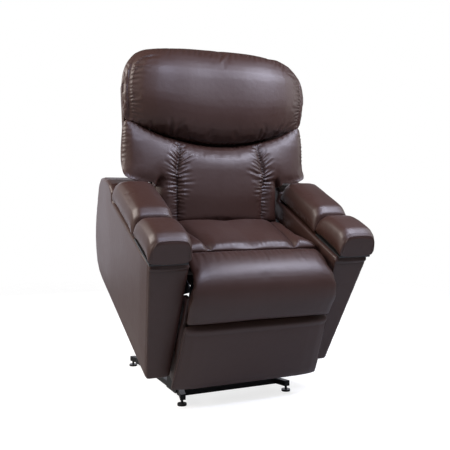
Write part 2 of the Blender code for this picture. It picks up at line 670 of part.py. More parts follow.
def make_back(chair):
    axis = hang("back_axis", chair, (BACK_V, BACK_W))
    frame = (axis, (BACK_V, BACK_W))
    d0, d1 = BACK_FRAME_REAR, BACK_FRAME_FRONT
    for side, word in ((-1, "left"), (1, "right")):
        x0, x1 = side * STILE_X, side * (STILE_X + HINGE_T)
        bar = back_outline([(0.03, d0), (0.03, d1), (0.62, d1), (0.62, d0)])
        stile = add("back_stile_" + word, prism(bar, x0, x1), frame, BLACK_STEEL)
        eye = hull((BACK_V, BACK_W, 0.018), *back_outline([(0.10, d0 + 0.001), (0.10, d1 - 0.001)]))
        join_or_cut(stile, prism(eye, x0, x1), "UNION")
        join_or_cut(stile, bores([(BACK_V, BACK_W, BACK_PIN_R + RUN)], x0, x1), "DIFFERENCE")
    inside = STILE_X - GAP
    top = prism(back_outline([(0.575, d0), (0.575, d1), (0.610, d1), (0.610, d0)]), -inside, inside)
    add("back_top_rail", top, frame, TIMBER)
    low = prism(back_outline([(0.045, d0), (0.045, d1), (0.085, d1), (0.085, d0)]), -inside, inside)
    rail = add("back_lower_rail", low, frame, BLACK_STEEL)
    lug = hull((BACK_LUG_V, BACK_LUG_W, 0.014), tuple(back_point(0.050, d0 + 0.004)), tuple(back_point(0.080, d0 + 0.004)))
    join_or_cut(rail, prism(lug, -SIDE_MOTOR_X - LUG_HALF, -SIDE_MOTOR_X + LUG_HALF), "UNION")
    make_back_shell(frame)
    make_back_cushion(frame)
    make_head_pillow(frame)
    lug_at = (BACK_LUG_V, BACK_LUG_W)
    make_actuator("recline", chair, (BACK_MOTOR_V, BACK_MOTOR_W), lug_at, -SIDE_MOTOR_X, 0.170, 0.085, CROSS_R)


def crease(x):
    """Height of the seam between the lumbar cushion and the head pillow, which dips in the middle."""
    return CREASE_LOW + CREASE_RISE * (x / BACK_HALF) ** 2


def back_skins(front_points, back_points, stations, low_at, high_at, relief):
    """The skins of a pad on the back, from points (share of its height, d); its lower and upper edges may curve."""
    tall = high_at(0.0) - low_at(0.0)
    front = smooth_curve([(q * tall, d) for q, d in front_points], stations)
    back = smooth_curve([(q * tall, d) for q, d in back_points], stations)

    def faces_at(x, j):
        inner = 0 < j < stations
        found = []
        for point, out in ((front[j], relief(x, j / stations) if inner else 0.0), (back[j], 0.0)):
            s = low_at(x) + (high_at(x) - low_at(x)) * point.x / tall
            found.append([s, point.y + out])
        if inner and abs(x) > WING_X and found[1][0] > WING_ROOT:
            clear = BACK_SEAT + WING_SLOPE * max(0.0, WING_CLEAR - found[1][0])
            found[1][1] = max(found[1][1], min(clear, found[0][1] - 0.010))
        return back_point(*found[0]), back_point(*found[1])

    faces_at.stations = stations
    return faces_at


def make_back_shell(frame):
    """The outside back: a stiff upholstered shell, closed at the rear."""
    d0, d1 = BACK_FRAME_REAR - GAP, BACK_FRAME_REAR - SHELL_DEPTH
    mesh = bmesh.new()
    rows = []
    for s, half in ((0.115, 0.255), (0.250, 0.262), (0.275, 0.345), (0.330, 0.375), (0.520, 0.380), (0.600, 0.360), (0.635, 0.320)):
        deep = d1 + 0.012 * (s > 0.60)
        ring_points = []
        for u, inset in ((-1.0, 0.4), (-0.93, 0.92), (-0.5, 1.0), (0.0, 1.0), (0.5, 1.0), (0.93, 0.92), (1.0, 0.4)):
            ring_points.append((half * u, back_point(s, d0 + (deep - d0) * inset)))
        ring_points += [(half, back_point(s, d0)), (-half, back_point(s, d0))]
        rows.append([mesh.verts.new((x, p.x, p.y)) for x, p in ring_points])
    for low, high in zip(rows, rows[1:]):
        for k in range(len(low)):
            n = (k + 1) % len(low)
            mesh.faces.new([low[k], low[n], high[n], high[k]])
    mesh.faces.new(rows[0])
    mesh.faces.new(rows[-1])
    add("back_shell", mesh, frame, DARK_HIDE, 40)


def make_back_cushion(frame):
    """The lower back: a lumbar swell between two sewn channels, with wings that spread above the arms."""
    front = [(0.0, 0.078), (0.030, 0.100), (0.16, 0.106), (0.40, 0.114), (0.68, 0.112), (0.90, 0.098), (1.0, 0.072)]
    back = [(0.0, 0.078), (0.020, 0.050), (0.10, 0.0240), (0.17, BACK_SEAT), (0.60, BACK_SEAT), (0.93, 0.026), (1.0, 0.072)]

    def relief(x, t):
        sewn = groove(abs(x) - CHANNEL_X, 0.012, 0.012) * math.sin(math.pi * min(1.0, t * 1.1)) ** 0.5
        swell = 0.010 * math.cos(math.pi * x / (2 * CHANNEL_X)) if abs(x) < CHANNEL_X else 0.0
        return sewn + swell

    def half_at(t):
        wing = min(1.0, max(0.0, (t - 0.55) / 0.07))
        return BACK_HALF_LOW + (BACK_HALF - BACK_HALF_LOW) * wing - 0.018 * max(0.0, (t - 0.6) / 0.4) ** 2

    shape = back_skins(front, back, 16, lambda x: BACK_LOW, lambda x: crease(x) - 0.004, relief)
    add("back_cushion", pad(wing_columns(BACK_HALF), shape, half_at), frame, HIDE, 60)


def make_head_pillow(frame):
    front = [(0.0, 0.072), (0.030, 0.102), (0.16, 0.133), (0.42, 0.150), (0.68, 0.148), (0.88, 0.124), (0.97, 0.095), (1.0, 0.060)]
    back = [(0.0, 0.072), (0.020, 0.042), (0.12, 0.020), (0.25, BACK_SEAT), (0.80, BACK_SEAT), (0.95, 0.022), (1.0, 0.060)]

    def half_at(t):
        return 0.387 + 0.016 * math.sin(math.pi * min(1.0, t * 1.2)) - 0.085 * max(0.0, (t - 0.5) / 0.5) ** 5

    def relief(x, t):
        return 0.006 * math.cos(math.pi * x / (2 * BACK_HALF)) * math.sin(math.pi * t)

    shape = back_skins(front, back, 16, crease, lambda x: BACK_TOP, relief)
    add("head_pillow", pad(evenly(16), shape, half_at, edge=5.0), frame, HIDE, 60)


# --- arms ---
def arm_outer(w):
    return ARM_FOOT_HALF + (ARM_OUTER_HALF - ARM_FOOT_HALF) * w / ARM_HEIGHT


def make_arm(side, word, chair):
    rear = [
        (SHOULDER_V, SHOULDER_W - 0.014),
        (SHOULDER_V + 0.018, SHOULDER_W),
        (SHOULDER_V + 0.060, SHOULDER_W + 0.001),
        (ARM_DEPTH - 0.205, SHOULDER_W - 0.010),
        (ARM_DEPTH - 0.135, 0.500),
        (ARM_DEPTH - 0.090, 0.455),
        (ARM_DEPTH - 0.050, 0.355),
        (ARM_DEPTH - 0.013, 0.240),
        (ARM_DEPTH, 0.150),
        (ARM_DEPTH - 0.014, 0.065),
        (ARM_DEPTH - 0.055, 0.012),
        (ARM_DEPTH - 0.125, 0.0),
    ]
    outline = [(0.006, 0.0), (0.0, 0.006), (0.0, ARM_HEIGHT), (SHOULDER_V, ARM_HEIGHT)]
    outline += [tuple(p) for p in smooth_curve(rear, 15)]
    mesh = prism(outline, ARM_INNER_HALF, ARM_OUTER_HALF)
    for vert in mesh.verts:
        outer = vert.co.x > ARM_INNER_HALF + 0.001
        vert.co.x = side * (arm_outer(vert.co.z) if outer else ARM_INNER_HALF)
    arm = add("arm_" + word, mesh, chair, HIDE)
    bevel = arm.modifiers.new("edge", "BEVEL")
    bevel.width = 0.009
    bevel.segments = 2
    bevel.limit_method = "ANGLE"
    bevel.angle_limit = math.radians(50)
    x0, x1 = side * WELL_IN, side * WELL_OUT
    well = block(x0, x1, WELL_FRONT, WELL_REAR, ARM_HEIGHT - WELL_DEPTH, ARM_HEIGHT + 0.01)
    join_or_cut(arm, well, "DIFFERENCE")
    make_tray(side, word, chair)
    make_pads(side, word, chair)


def make_tray(side, word, chair):
    """The moulded tray that lines the storage well."""
    x0, x1 = side * (WELL_IN + GAP), side * (WELL_OUT - GAP)
    y0, y1 = WELL_FRONT + GAP, WELL_REAR - GAP
    floor = ARM_HEIGHT - WELL_DEPTH + GAP
    tray = add("storage_tray_" + word, block(x0, x1, y0, y1, floor, ARM_HEIGHT - GAP), chair, PLASTIC)
    inset = side * TRAY_WALL
    hollow = block(x0 + inset, x1 - inset, y0 + TRAY_WALL, y1 - TRAY_WALL, floor + TRAY_WALL, ARM_HEIGHT + 0.01)
    join_or_cut(tray, hollow, "DIFFERENCE")


def make_pads(side, word, chair):
    """The sliding cap over the storage well, on its board, and the fixed pad behind it."""
    middle = side * (PAD_IN + PAD_OUT) / 2
    half = (PAD_OUT - PAD_IN) / 2
    axis = hang("arm_cap_axis_" + word, chair, (CAP_FRONT, ARM_HEIGHT))
    frame = (axis, (CAP_FRONT, ARM_HEIGHT))
    base = ARM_HEIGHT + GAP
    board = block(middle - half + 0.005, middle + half - 0.005, CAP_FRONT + 0.006, CAP_REAR - 0.004, base, base + BOARD_H)
    add("arm_cap_board_" + word, board, frame, PLASTIC)
    low = base + BOARD_H + GAP
    front_low, rear_low = (CAP_FRONT, low + 0.010), (CAP_REAR, low + 0.012)
    top = [front_low, (CAP_FRONT, low + 0.050), (CAP_FRONT + 0.010, CAP_TOP - 0.014), (0.030, CAP_TOP), (0.090, CAP_TOP - 0.001), (0.150, CAP_TOP - 0.010), (0.172, CAP_TOP - 0.026), (CAP_REAR, CAP_TOP - 0.060), rear_low]
    under = [front_low, (CAP_FRONT + 0.006, low), (0.040, low), (0.120, low), (CAP_REAR - 0.006, low), rear_low]
    mesh = pad(evenly(8), skins(top, under, 12), lambda t: half, middle, 6.0)
    add("arm_cap_" + word, mesh, frame, HIDE, 50)
    front_low, rear_low = (PAD_FRONT, base + 0.012), (PAD_REAR, base + 0.012)
    top = [front_low, (PAD_FRONT + 0.001, PAD_TOP - 0.040), (PAD_FRONT + 0.016, PAD_TOP - 0.012), (0.240, PAD_TOP), (0.340, PAD_TOP), (0.440, PAD_TOP - 0.002), (0.472, PAD_TOP - 0.014), (PAD_REAR - 0.001, PAD_TOP - 0.045), rear_low]
    under = [front_low, (PAD_FRONT + 0.008, base), (0.260, base), (0.400, base), (PAD_REAR - 0.008, base), rear_low]
    mesh = pad(evenly(8), skins(top, under, 12), lambda t: half, middle, 6.0)
    add("arm_pad_" + word, mesh, chair, HIDE, 50)


def main():
    clear_scene()
    base = hang("base_frame", None, (FRONT_FEET_Y, 0.0))
    chair = hang("chair_frame", base, (CHAIR_Y, CHAIR_Z), TILT)
    make_base(base)
    make_lift_links(base, chair)
    make_mechanism(chair)
    make_seat(chair)
    make_legrest(chair)
    make_back(chair)
    for side, word in ((-1, "left"), (1, "right")):
        make_arm(side, word, chair)


main()
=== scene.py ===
"""The finished look of a powered lift recliner chair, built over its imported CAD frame."""

import json
import math

import bmesh
import bpy
import numpy as np
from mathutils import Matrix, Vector
from mathutils.bvhtree import BVHTree


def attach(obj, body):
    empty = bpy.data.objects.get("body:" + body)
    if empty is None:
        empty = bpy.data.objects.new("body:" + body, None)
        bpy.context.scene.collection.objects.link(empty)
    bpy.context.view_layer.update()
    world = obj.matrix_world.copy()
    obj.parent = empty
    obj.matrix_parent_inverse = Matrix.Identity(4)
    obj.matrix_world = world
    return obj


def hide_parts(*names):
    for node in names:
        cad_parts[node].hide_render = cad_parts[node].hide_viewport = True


bl_info = {
    "name": "Lift recliner upholstery",
    "version": (1, 0, 0),
    "blender": (4, 5, 0),
    "location": "View3D > Sidebar > Recliner",
    "description": "Leather cushions, arms, frame finishes and a studio for a lift recliner chair",
    "category": "Object",
}

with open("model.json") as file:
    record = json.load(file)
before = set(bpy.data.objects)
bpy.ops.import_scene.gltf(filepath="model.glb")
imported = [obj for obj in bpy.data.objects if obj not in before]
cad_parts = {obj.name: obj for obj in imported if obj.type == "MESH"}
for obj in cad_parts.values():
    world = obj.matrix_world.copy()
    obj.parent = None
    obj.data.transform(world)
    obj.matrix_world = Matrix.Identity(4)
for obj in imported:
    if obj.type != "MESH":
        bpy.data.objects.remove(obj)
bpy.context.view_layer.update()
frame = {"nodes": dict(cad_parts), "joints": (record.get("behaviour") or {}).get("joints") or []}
joints = {joint["name"]: joint for joint in frame["joints"]}

SIDES = ((-1, "left"), (1, "right"))

# The legrest's pivot in the chair's own axes: depth from the front of the arms, height from their foot.
LEG_PIVOT = (0.010, 0.383)
BACK_LEAN = math.radians(26.0)

# The back: heights are from its pivot, up the back.
BACK_LOW, BACK_TOP = -0.030, 0.672
BACK_HALF = 0.405
CREASE_LOW, CREASE_RISE = 0.295, 0.100
CREASE_HALF = 0.37  # the tucks at the crease end here
CHANNEL_CAD = 0.190  # half the distance between the channels in CAD
CHANNEL_HALF, CHANNEL_DRAW = 0.195, 0.025  # the same at the seat, and how far they draw together
WING_FALL = 0.300  # below this height the wings are drawn down
ARM_CLEAR, ARM_SLOPE = 0.112, 0.72  # the arms' reach off the back's frame as it reclines, and its fall
WING_THIN = 0.88  # the wings' rear is pressed this share of the way there
CORNER_SHARE = 0.075  # the pillow's upper corners draw in by this share of its width
EDGE_DRAW = 0.075  # and the line where their gathers start by this much
# Long tucks at the pillow's lower seam: place, sideways lean, length and depth.
PILLOW_TUCKS = (
    (-0.205, -0.25, 0.085, 0.006),
    (-0.185, -0.10, 0.060, 0.004),
    (-0.275, -0.5, 0.05, 0.004),
    (0.185, 0.12, 0.070, 0.005),
    (0.225, 0.75, 0.100, 0.006),
    (0.265, 0.9, 0.070, 0.004),
)
# The outside back's seam on the right, from its foot up: x, height and stand-off.
SHELL_SEAM = (
    (0.225, 0.150, -0.07),
    (0.232, 0.250, -0.07),
    (0.330, 0.310, -0.07),
    (0.345, 0.520, -0.07),
    (0.325, 0.595, -0.06),
)

# The seat and the legrest.
SEAT_FRONT = 0.1085
SEAT_SEAM = 0.178  # half the width of the seat's middle panel
BOLSTER_HALF, BOLSTER_BELLY = 0.2870, 0.0065  # it clears the arms: its half width, and more low down
HEM_RISE = 0.009
PANEL_TOP_HALF, PANEL_FLARE = 0.294, 0.014  # half width of the foot panel, and its flare towards the floor
LEG_SIDE_IN, LEG_SIDE_OUT = 0.2695, 0.2880
LEG_SIDE_ROUND = 0.004
# Depth and height round a closed side of the legrest.
LEG_SIDE_OUTLINE = (
    (-0.043, -0.010),
    (-0.043, 0.240),
    (-0.018, 0.250),
    (-0.019, 0.366),
    (-0.006, 0.352),
    (0.030, 0.343),
    (0.058, 0.300),
    (0.058, 0.020),
    (0.045, -0.010),
)

# The arms.
ARM_TOP = 0.4857
ARM_IN = 0.292
ARM_FOOT_OUT, ARM_FLARE = 0.385, 0.055  # outer face at the floor, and its flare up to the arm's top
PAD_MIDDLE, PAD_EDGE = 0.3715, 0.0745
WELL = ((0.318, 0.022, 0.3807), (0.412, 0.162, 0.60))  # storage well: x, depth and height
CAP_FACE = -0.012  # depth of the sliding caps' front ends
CAP_FLAT = 0.010  # what lies this close behind the face is pressed flat
CAP_LOW, CAP_HALF, CAP_RISE = 0.5135, 0.0655, 0.0700  # the face's D: its foot, half width and height
CAP_OUTLINE = ((1, 0), (1, 0.55), (0.88, 0.84), (0.62, 0.97))  # the D's right half, up to its crown

# Mesh and seams.
SHELL_SKIN, ARM_SKIN, PAD_SKIN = 0.007, 0.006, 0.005  # quads of the back shell, the arms and their pads
STEP = 0.004  # between points of a seam that is laid on a skin
PUCKER_STEP = 0.006
PIPING_STEP = 0.01
PIPING_R, WELT_R = 0.0026, 0.0017
STUFFING_FRAMES = 20  # of cloth simulation
STUFFING_STIFFNESS = 25
NIL = 1e-9  # shorter lengths count as none

# The studio.
CAMERA_PLACE = (-1.1094, -2.4949, 0.7795)
CAMERA_AZIMUTH, CAMERA_RISE = math.radians(-24.72), math.radians(2.21)
SENSOR = 36.0
FLOOR_RADIUS = 4.0
FLOOR_GLOW = 0.76
CHEST = (0.0, 0.0, 0.8)  # what most lights aim at


# ------------------------------------------------------------------ axes
class Axes:
    """Right, depth and height of a part of the chair that is turned in the frame."""

    def __init__(self, origin, depth, height):
        self.origin = np.array(origin, float)
        self.turn = np.array(((1.0, 0.0, 0.0), depth, height), float)

    def inward(self, points):
        return (np.asarray(points, float) - self.origin) @ self.turn.T

    def outward(self, points):
        return np.asarray(points, float) @ self.turn + self.origin


def pivot_of(joint):
    """A joint's place, moved to the middle of the chair."""
    pivot = np.array(joints[joint]["pos_m"], float)
    pivot[0] = 0.0
    return pivot


def chair_axes():
    """The upper chair is tilted as its arm caps slide. Its zero is the lower front edge of the arms."""
    slide = joints["arm_cap_left"]["axis"]
    depth = np.array((0.0, -slide[1], -slide[2]))
    height = np.array((0.0, slide[2], -slide[1]))
    return Axes(pivot_of("legrest") - LEG_PIVOT[0] * depth - LEG_PIVOT[1] * height, depth, height)


def back_axes(chair):
    """Up the back and out of its front, from the recline pivot: y is the height, z stands off the frame."""
    depth, height = chair.turn[1], chair.turn[2]
    rise = math.sin(BACK_LEAN) * depth + math.cos(BACK_LEAN) * height
    proud = -math.cos(BACK_LEAN) * depth + math.sin(BACK_LEAN) * height
    return Axes(pivot_of("recline"), rise, proud)


CHAIR = chair_axes()
BACK = back_axes(CHAIR)


# ------------------------------------------------------------------ materials
def linear(code):
    """An sRGB hex colour as linear values."""
    values = [int(code[k : k + 2], 16) / 255 for k in (1, 3, 5)]
    return (*[v / 12.92 if v <= 0.04045 else ((v + 0.055) / 1.055) ** 2.4 for v in values], 1.0)


def toned(code, share, more):
    """A darker or paler tone of a hex colour, as linear values."""
    return [min(1.0, share * value + more) for value in linear(code)[:3]] + [1.0]


def add_node(tree, kind, inputs=None, **settings):
    """A node with its settings, and its sockets set to values or linked to other nodes' sockets."""
    made = tree.nodes.new("ShaderNode" + kind)
    for name, value in settings.items():
        setattr(made, name, value)
    for socket, value in (inputs or {}).items():
        if isinstance(value, bpy.types.NodeSocket):
            tree.links.new(value, made.inputs[socket])
        else:
            made.inputs[socket].default_value = value
    return made


def blend(tree, factor, first, second):
    """A colour from the first to the second, as the factor goes from 0 to 1."""
    mix = add_node(tree, "Mix", {"Factor": factor, "A": first, "B": second}, data_type="RGBA")
    return mix.outputs["Result"]


def mix_shaders(tree, factor, first, second):
    return add_node(tree, "MixShader", {"Fac": factor, 1: first.outputs[0], 2: second.outputs[0]})


def spread(tree, value, low, high):
    """A value from 0 to 1 turned into one from low to high."""
    return add_node(tree, "MapRange", {"Value": value, "To Min": low, "To Max": high}).outputs["Result"]


def new_material(name):
    """An empty material, its node tree, and the socket that gives a point's place on the piece."""
    material = bpy.data.materials.new(name)
    material.use_nodes = True
    tree = material.node_tree
    tree.nodes.clear()
    return material, tree, add_node(tree, "TexCoord").outputs["Object"]


def finish_surface(material, shader):
    """Leads a shader to the material's output."""
    output = add_node(material.node_tree, "OutputMaterial", {"Surface": shader.outputs[0]})
    output.location = (400, 0)
    return material


def principled(material, inputs):
    return finish_surface(material, add_node(material.node_tree, "BsdfPrincipled", inputs))


def leather(name, base, bloom, roughness, specular):
    """Corrected-grain cowhide, drum dyed and finished with a satin resin top coat: the eye sees a deep even
    colour, soft broad highlights, faint cloudiness, and painted shade where seams and gathers pull in."""
    material, tree, at = new_material(name)
    cloud = add_node(tree, "TexNoise", {"Vector": at, "Scale": 9.0, "Detail": 3.0, "Roughness": 0.5})
    tone = blend(tree, cloud.outputs["Fac"], linear(base), linear(bloom))
    # painted shade: the hide's colour is darkened where seams and gathers pull the skin in
    shade = add_node(tree, "Attribute", attribute_name="crease_shade")
    colour = blend(tree, shade.outputs["Fac"], tone, toned(base, 0.35, 0.0))
    # hair-cell grain is about 0.8 mm: drawn at 2.2 mm so that it shows
    grain = add_node(tree, "TexVoronoi", {"Vector": at, "Scale": 1 / 0.0022, "Randomness": 1.0}, feature="F1")
    # the hide's soft undulation, about 25 mm across
    drape = add_node(tree, "TexNoise", {"Vector": at, "Scale": 1 / 0.025, "Detail": 2.0, "Roughness": 0.45})
    fine = add_node(tree, "Bump", {"Height": grain.outputs["Distance"], "Strength": 0.10, "Distance": 0.0004})
    waves = {"Height": drape.outputs["Fac"], "Strength": 0.25, "Distance": 0.0022}
    broad = add_node(tree, "Bump", {**waves, "Normal": fine.outputs["Normal"]})
    # handled areas are a little shinier than the rest
    sheen = spread(tree, cloud.outputs["Fac"], roughness - 0.03, roughness + 0.05)
    coat = {"Base Color": colour, "Roughness": sheen, "Specular IOR Level": specular}
    return principled(material, {**coat, "Normal": broad.outputs["Normal"]})


def powder_coat(name, base, roughness):
    """Steel tube and plate, powder coated satin black: an even dark skin with a slight orange peel."""
    material, tree, at = new_material(name)
    # orange peel is about 1 mm: drawn at 3 mm so that it shows
    peel = add_node(tree, "TexNoise", {"Vector": at, "Scale": 1 / 0.003, "Detail": 1.0})
    dust = add_node(tree, "TexNoise", {"Vector": at, "Scale": 14.0, "Detail": 4.0})
    colour = blend(tree, dust.outputs["Fac"], linear(base), toned(base, 1.9, 0.004))
    rough = spread(tree, dust.outputs["Fac"], roughness - 0.05, roughness + 0.08)
    bump = add_node(tree, "Bump", {"Height": peel.outputs["Fac"], "Strength": 0.3, "Distance": 0.0003})
    coat = {"Base Color": colour, "Roughness": rough, "Specular IOR Level": 0.25}
    return principled(material, {**coat, "Normal": bump.outputs["Normal"]})


def zinc_plate(name):
    """Steel, zinc plated and passivated, drawn or turned: a dull cool grey metal with faint rings."""
    material, tree, at = new_material(name)
    flow = add_node(tree, "TexNoise", {"Vector": at, "Scale": 60.0, "Detail": 3.0})
    colour = blend(tree, flow.outputs["Fac"], linear("#9a9da3"), linear("#b9b8b2"))
    ring = {"Vector": at, "Scale": 1 / 0.004, "Distortion": 2.0}
    rings = add_node(tree, "TexWave", ring, bands_direction="Z")
    rough = spread(tree, rings.outputs["Fac"], 0.32, 0.44)
    return principled(material, {"Base Color": colour, "Metallic": 1.0, "Roughness": rough})


def plywood(name):
    """Birch plywood, sawn and stained dark: brown, matt, with long grain and thin dark plies at the edges."""
    material, tree, at = new_material(name)
    long_grain = add_node(tree, "Mapping", {"Vector": at, "Scale": (2.0, 30.0, 30.0)})
    figure = add_node(tree, "TexNoise", {"Vector": long_grain.outputs["Vector"], "Scale": 5.0, "Detail": 6.0})
    colour = blend(tree, figure.outputs["Fac"], linear("#2e2219"), linear("#443224"))
    ply = {"Vector": at, "Scale": 1 / 0.006, "Distortion": 0.6}
    plies = add_node(tree, "TexWave", ply, bands_direction="Y")
    bump = add_node(tree, "Bump", {"Height": plies.outputs["Fac"], "Strength": 0.2, "Distance": 0.0004})
    return principled(material, {"Base Color": colour, "Roughness": 0.7, "Normal": bump.outputs["Normal"]})


def moulded_plastic(name, base, roughness, grit):
    """ABS or nylon, injection moulded in a spark-eroded tool: matt black with a fine even grit."""
    material, tree, at = new_material(name)
    texture = add_node(tree, "TexNoise", {"Vector": at, "Scale": 1 / grit, "Detail": 2.0})
    colour = blend(tree, texture.outputs["Fac"], linear(base), toned(base, 1.5, 0.003))
    bump = add_node(tree, "Bump", {"Height": texture.outputs["Fac"], "Strength": 0.35, "Distance": 0.0002})
    coat = {"Base Color": colour, "Roughness": roughness}
    return principled(material, {**coat, "Normal": bump.outputs["Normal"]})


def hide_material():
    """The one leather of the whole chair."""
    made = bpy.data.materials.get("leather_cowhide_satin")
    if made is None:
        look = bpy.context.scene.recliner_leather
        made = leather("leather_cowhide_satin", look.hide, look.bloom, look.roughness, look.specular)
    return made


# ------------------------------------------------------------------ meshes
def add_object(name, data):
    made = bpy.data.objects.new(name, data)
    bpy.context.scene.collection.objects.link(made)
    return made


def add_mesh(name, work):
    """An object made from a bmesh, which is used up."""
    mesh = bpy.data.meshes.new(name)
    work.to_mesh(mesh)
    work.free()
    return add_object(name, mesh)


def baked(piece):
    """The piece's mesh with its modifiers applied."""
    graph = bpy.context.evaluated_depsgraph_get()
    mesh = bpy.data.meshes.new_from_object(piece.evaluated_get(graph))
    piece.modifiers.clear()
    old = piece.data
    piece.data = mesh
    bpy.data.meshes.remove(old)
    return piece


def normals(mesh):
    flat = np.empty(len(mesh.vertices) * 3, np.float32)
    mesh.vertex_normals.foreach_get("vector", flat)
    return flat.reshape(-1, 3).astype(float)


def coordinates(mesh):
    flat = np.empty(len(mesh.vertices) * 3, np.float32)
    mesh.vertices.foreach_get("co", flat)
    return flat.reshape(-1, 3).astype(float)


def place_vertices(mesh, points):
    mesh.vertices.foreach_set("co", np.asarray(points, np.float32).ravel())
    mesh.update()


def own_points(piece, axes):
    """The mesh's points in the part's own axes; set_own_points puts them back when they have been moved."""
    return axes.inward(coordinates(piece.data))


def set_own_points(piece, axes, local):
    place_vertices(piece.data, axes.outward(local))


def remeshed(name, node, voxel, rounds=0, full=0.0):
    """A new object with the CAD node's shape in an even skin of small quads. Rounds smooth its facets out, and
    full is the stuffing that this takes away."""
    mesh = frame["nodes"][node].data.copy()
    work = bmesh.new()
    work.from_mesh(mesh)
    bmesh.ops.remove_doubles(work, verts=work.verts, dist=1e-5)
    work.to_mesh(mesh)
    work.free()
    piece = add_object(name, mesh)
    skin = piece.modifiers.new("skin", "REMESH")
    skin.mode = "VOXEL"
    skin.voxel_size = voxel
    if rounds:
        soft = piece.modifiers.new("soft", "SMOOTH")
        soft.factor = 0.5
        soft.iterations = rounds
    baked(piece)
    if full:
        place_vertices(piece.data, coordinates(piece.data) + full * normals(piece.data))
    return piece


def refine(piece):
    """Halves the skin's quads, and rounds it."""
    finer = piece.modifiers.new("finer", "SUBSURF")
    finer.levels = finer.render_levels = 1
    baked(piece)


def bump_step(value, low, high):
    """0 below low, 1 above high, and smooth between."""
    t = np.clip((value - low) / (high - low), 0, 1)
    return t * t * (3 - 2 * t)


def inflate(piece, axes, held, pressure, reach):
    """Stuffing: the skin is blown up as cloth, held where held(x, y, z) says so, and moves less than reach."""
    start = coordinates(piece.data)
    local = axes.inward(start)
    weight = held(local[:, 0], local[:, 1], local[:, 2])
    group = piece.vertex_groups.new(name="held")
    for level in (0.25, 0.5, 0.75, 1.0):
        chosen = np.flatnonzero(np.abs(weight - level) <= 0.125)
        group.add(chosen.tolist(), level, "REPLACE")
    cloth = piece.modifiers.new("stuffing", "CLOTH")
    settings = cloth.settings
    settings.use_pressure = True
    settings.uniform_pressure_force = pressure
    settings.effector_weights.gravity = 0.0
    settings.vertex_group_mass = "held"
    settings.quality = 4
    settings.tension_stiffness = STUFFING_STIFFNESS
    settings.compression_stiffness = STUFFING_STIFFNESS
    settings.bending_stiffness = 4
    cloth.point_cache.frame_end = STUFFING_FRAMES
    scene = bpy.context.scene
    for count in range(STUFFING_FRAMES):
        scene.frame_set(count + 1)
    baked(piece)
    scene.frame_set(1)
    moved = coordinates(piece.data) - start
    length = np.maximum(np.linalg.norm(moved, axis=1, keepdims=True), NIL)
    place_vertices(piece.data, start + moved / length * reach * np.tanh(length / reach))
    piece.vertex_groups.clear()


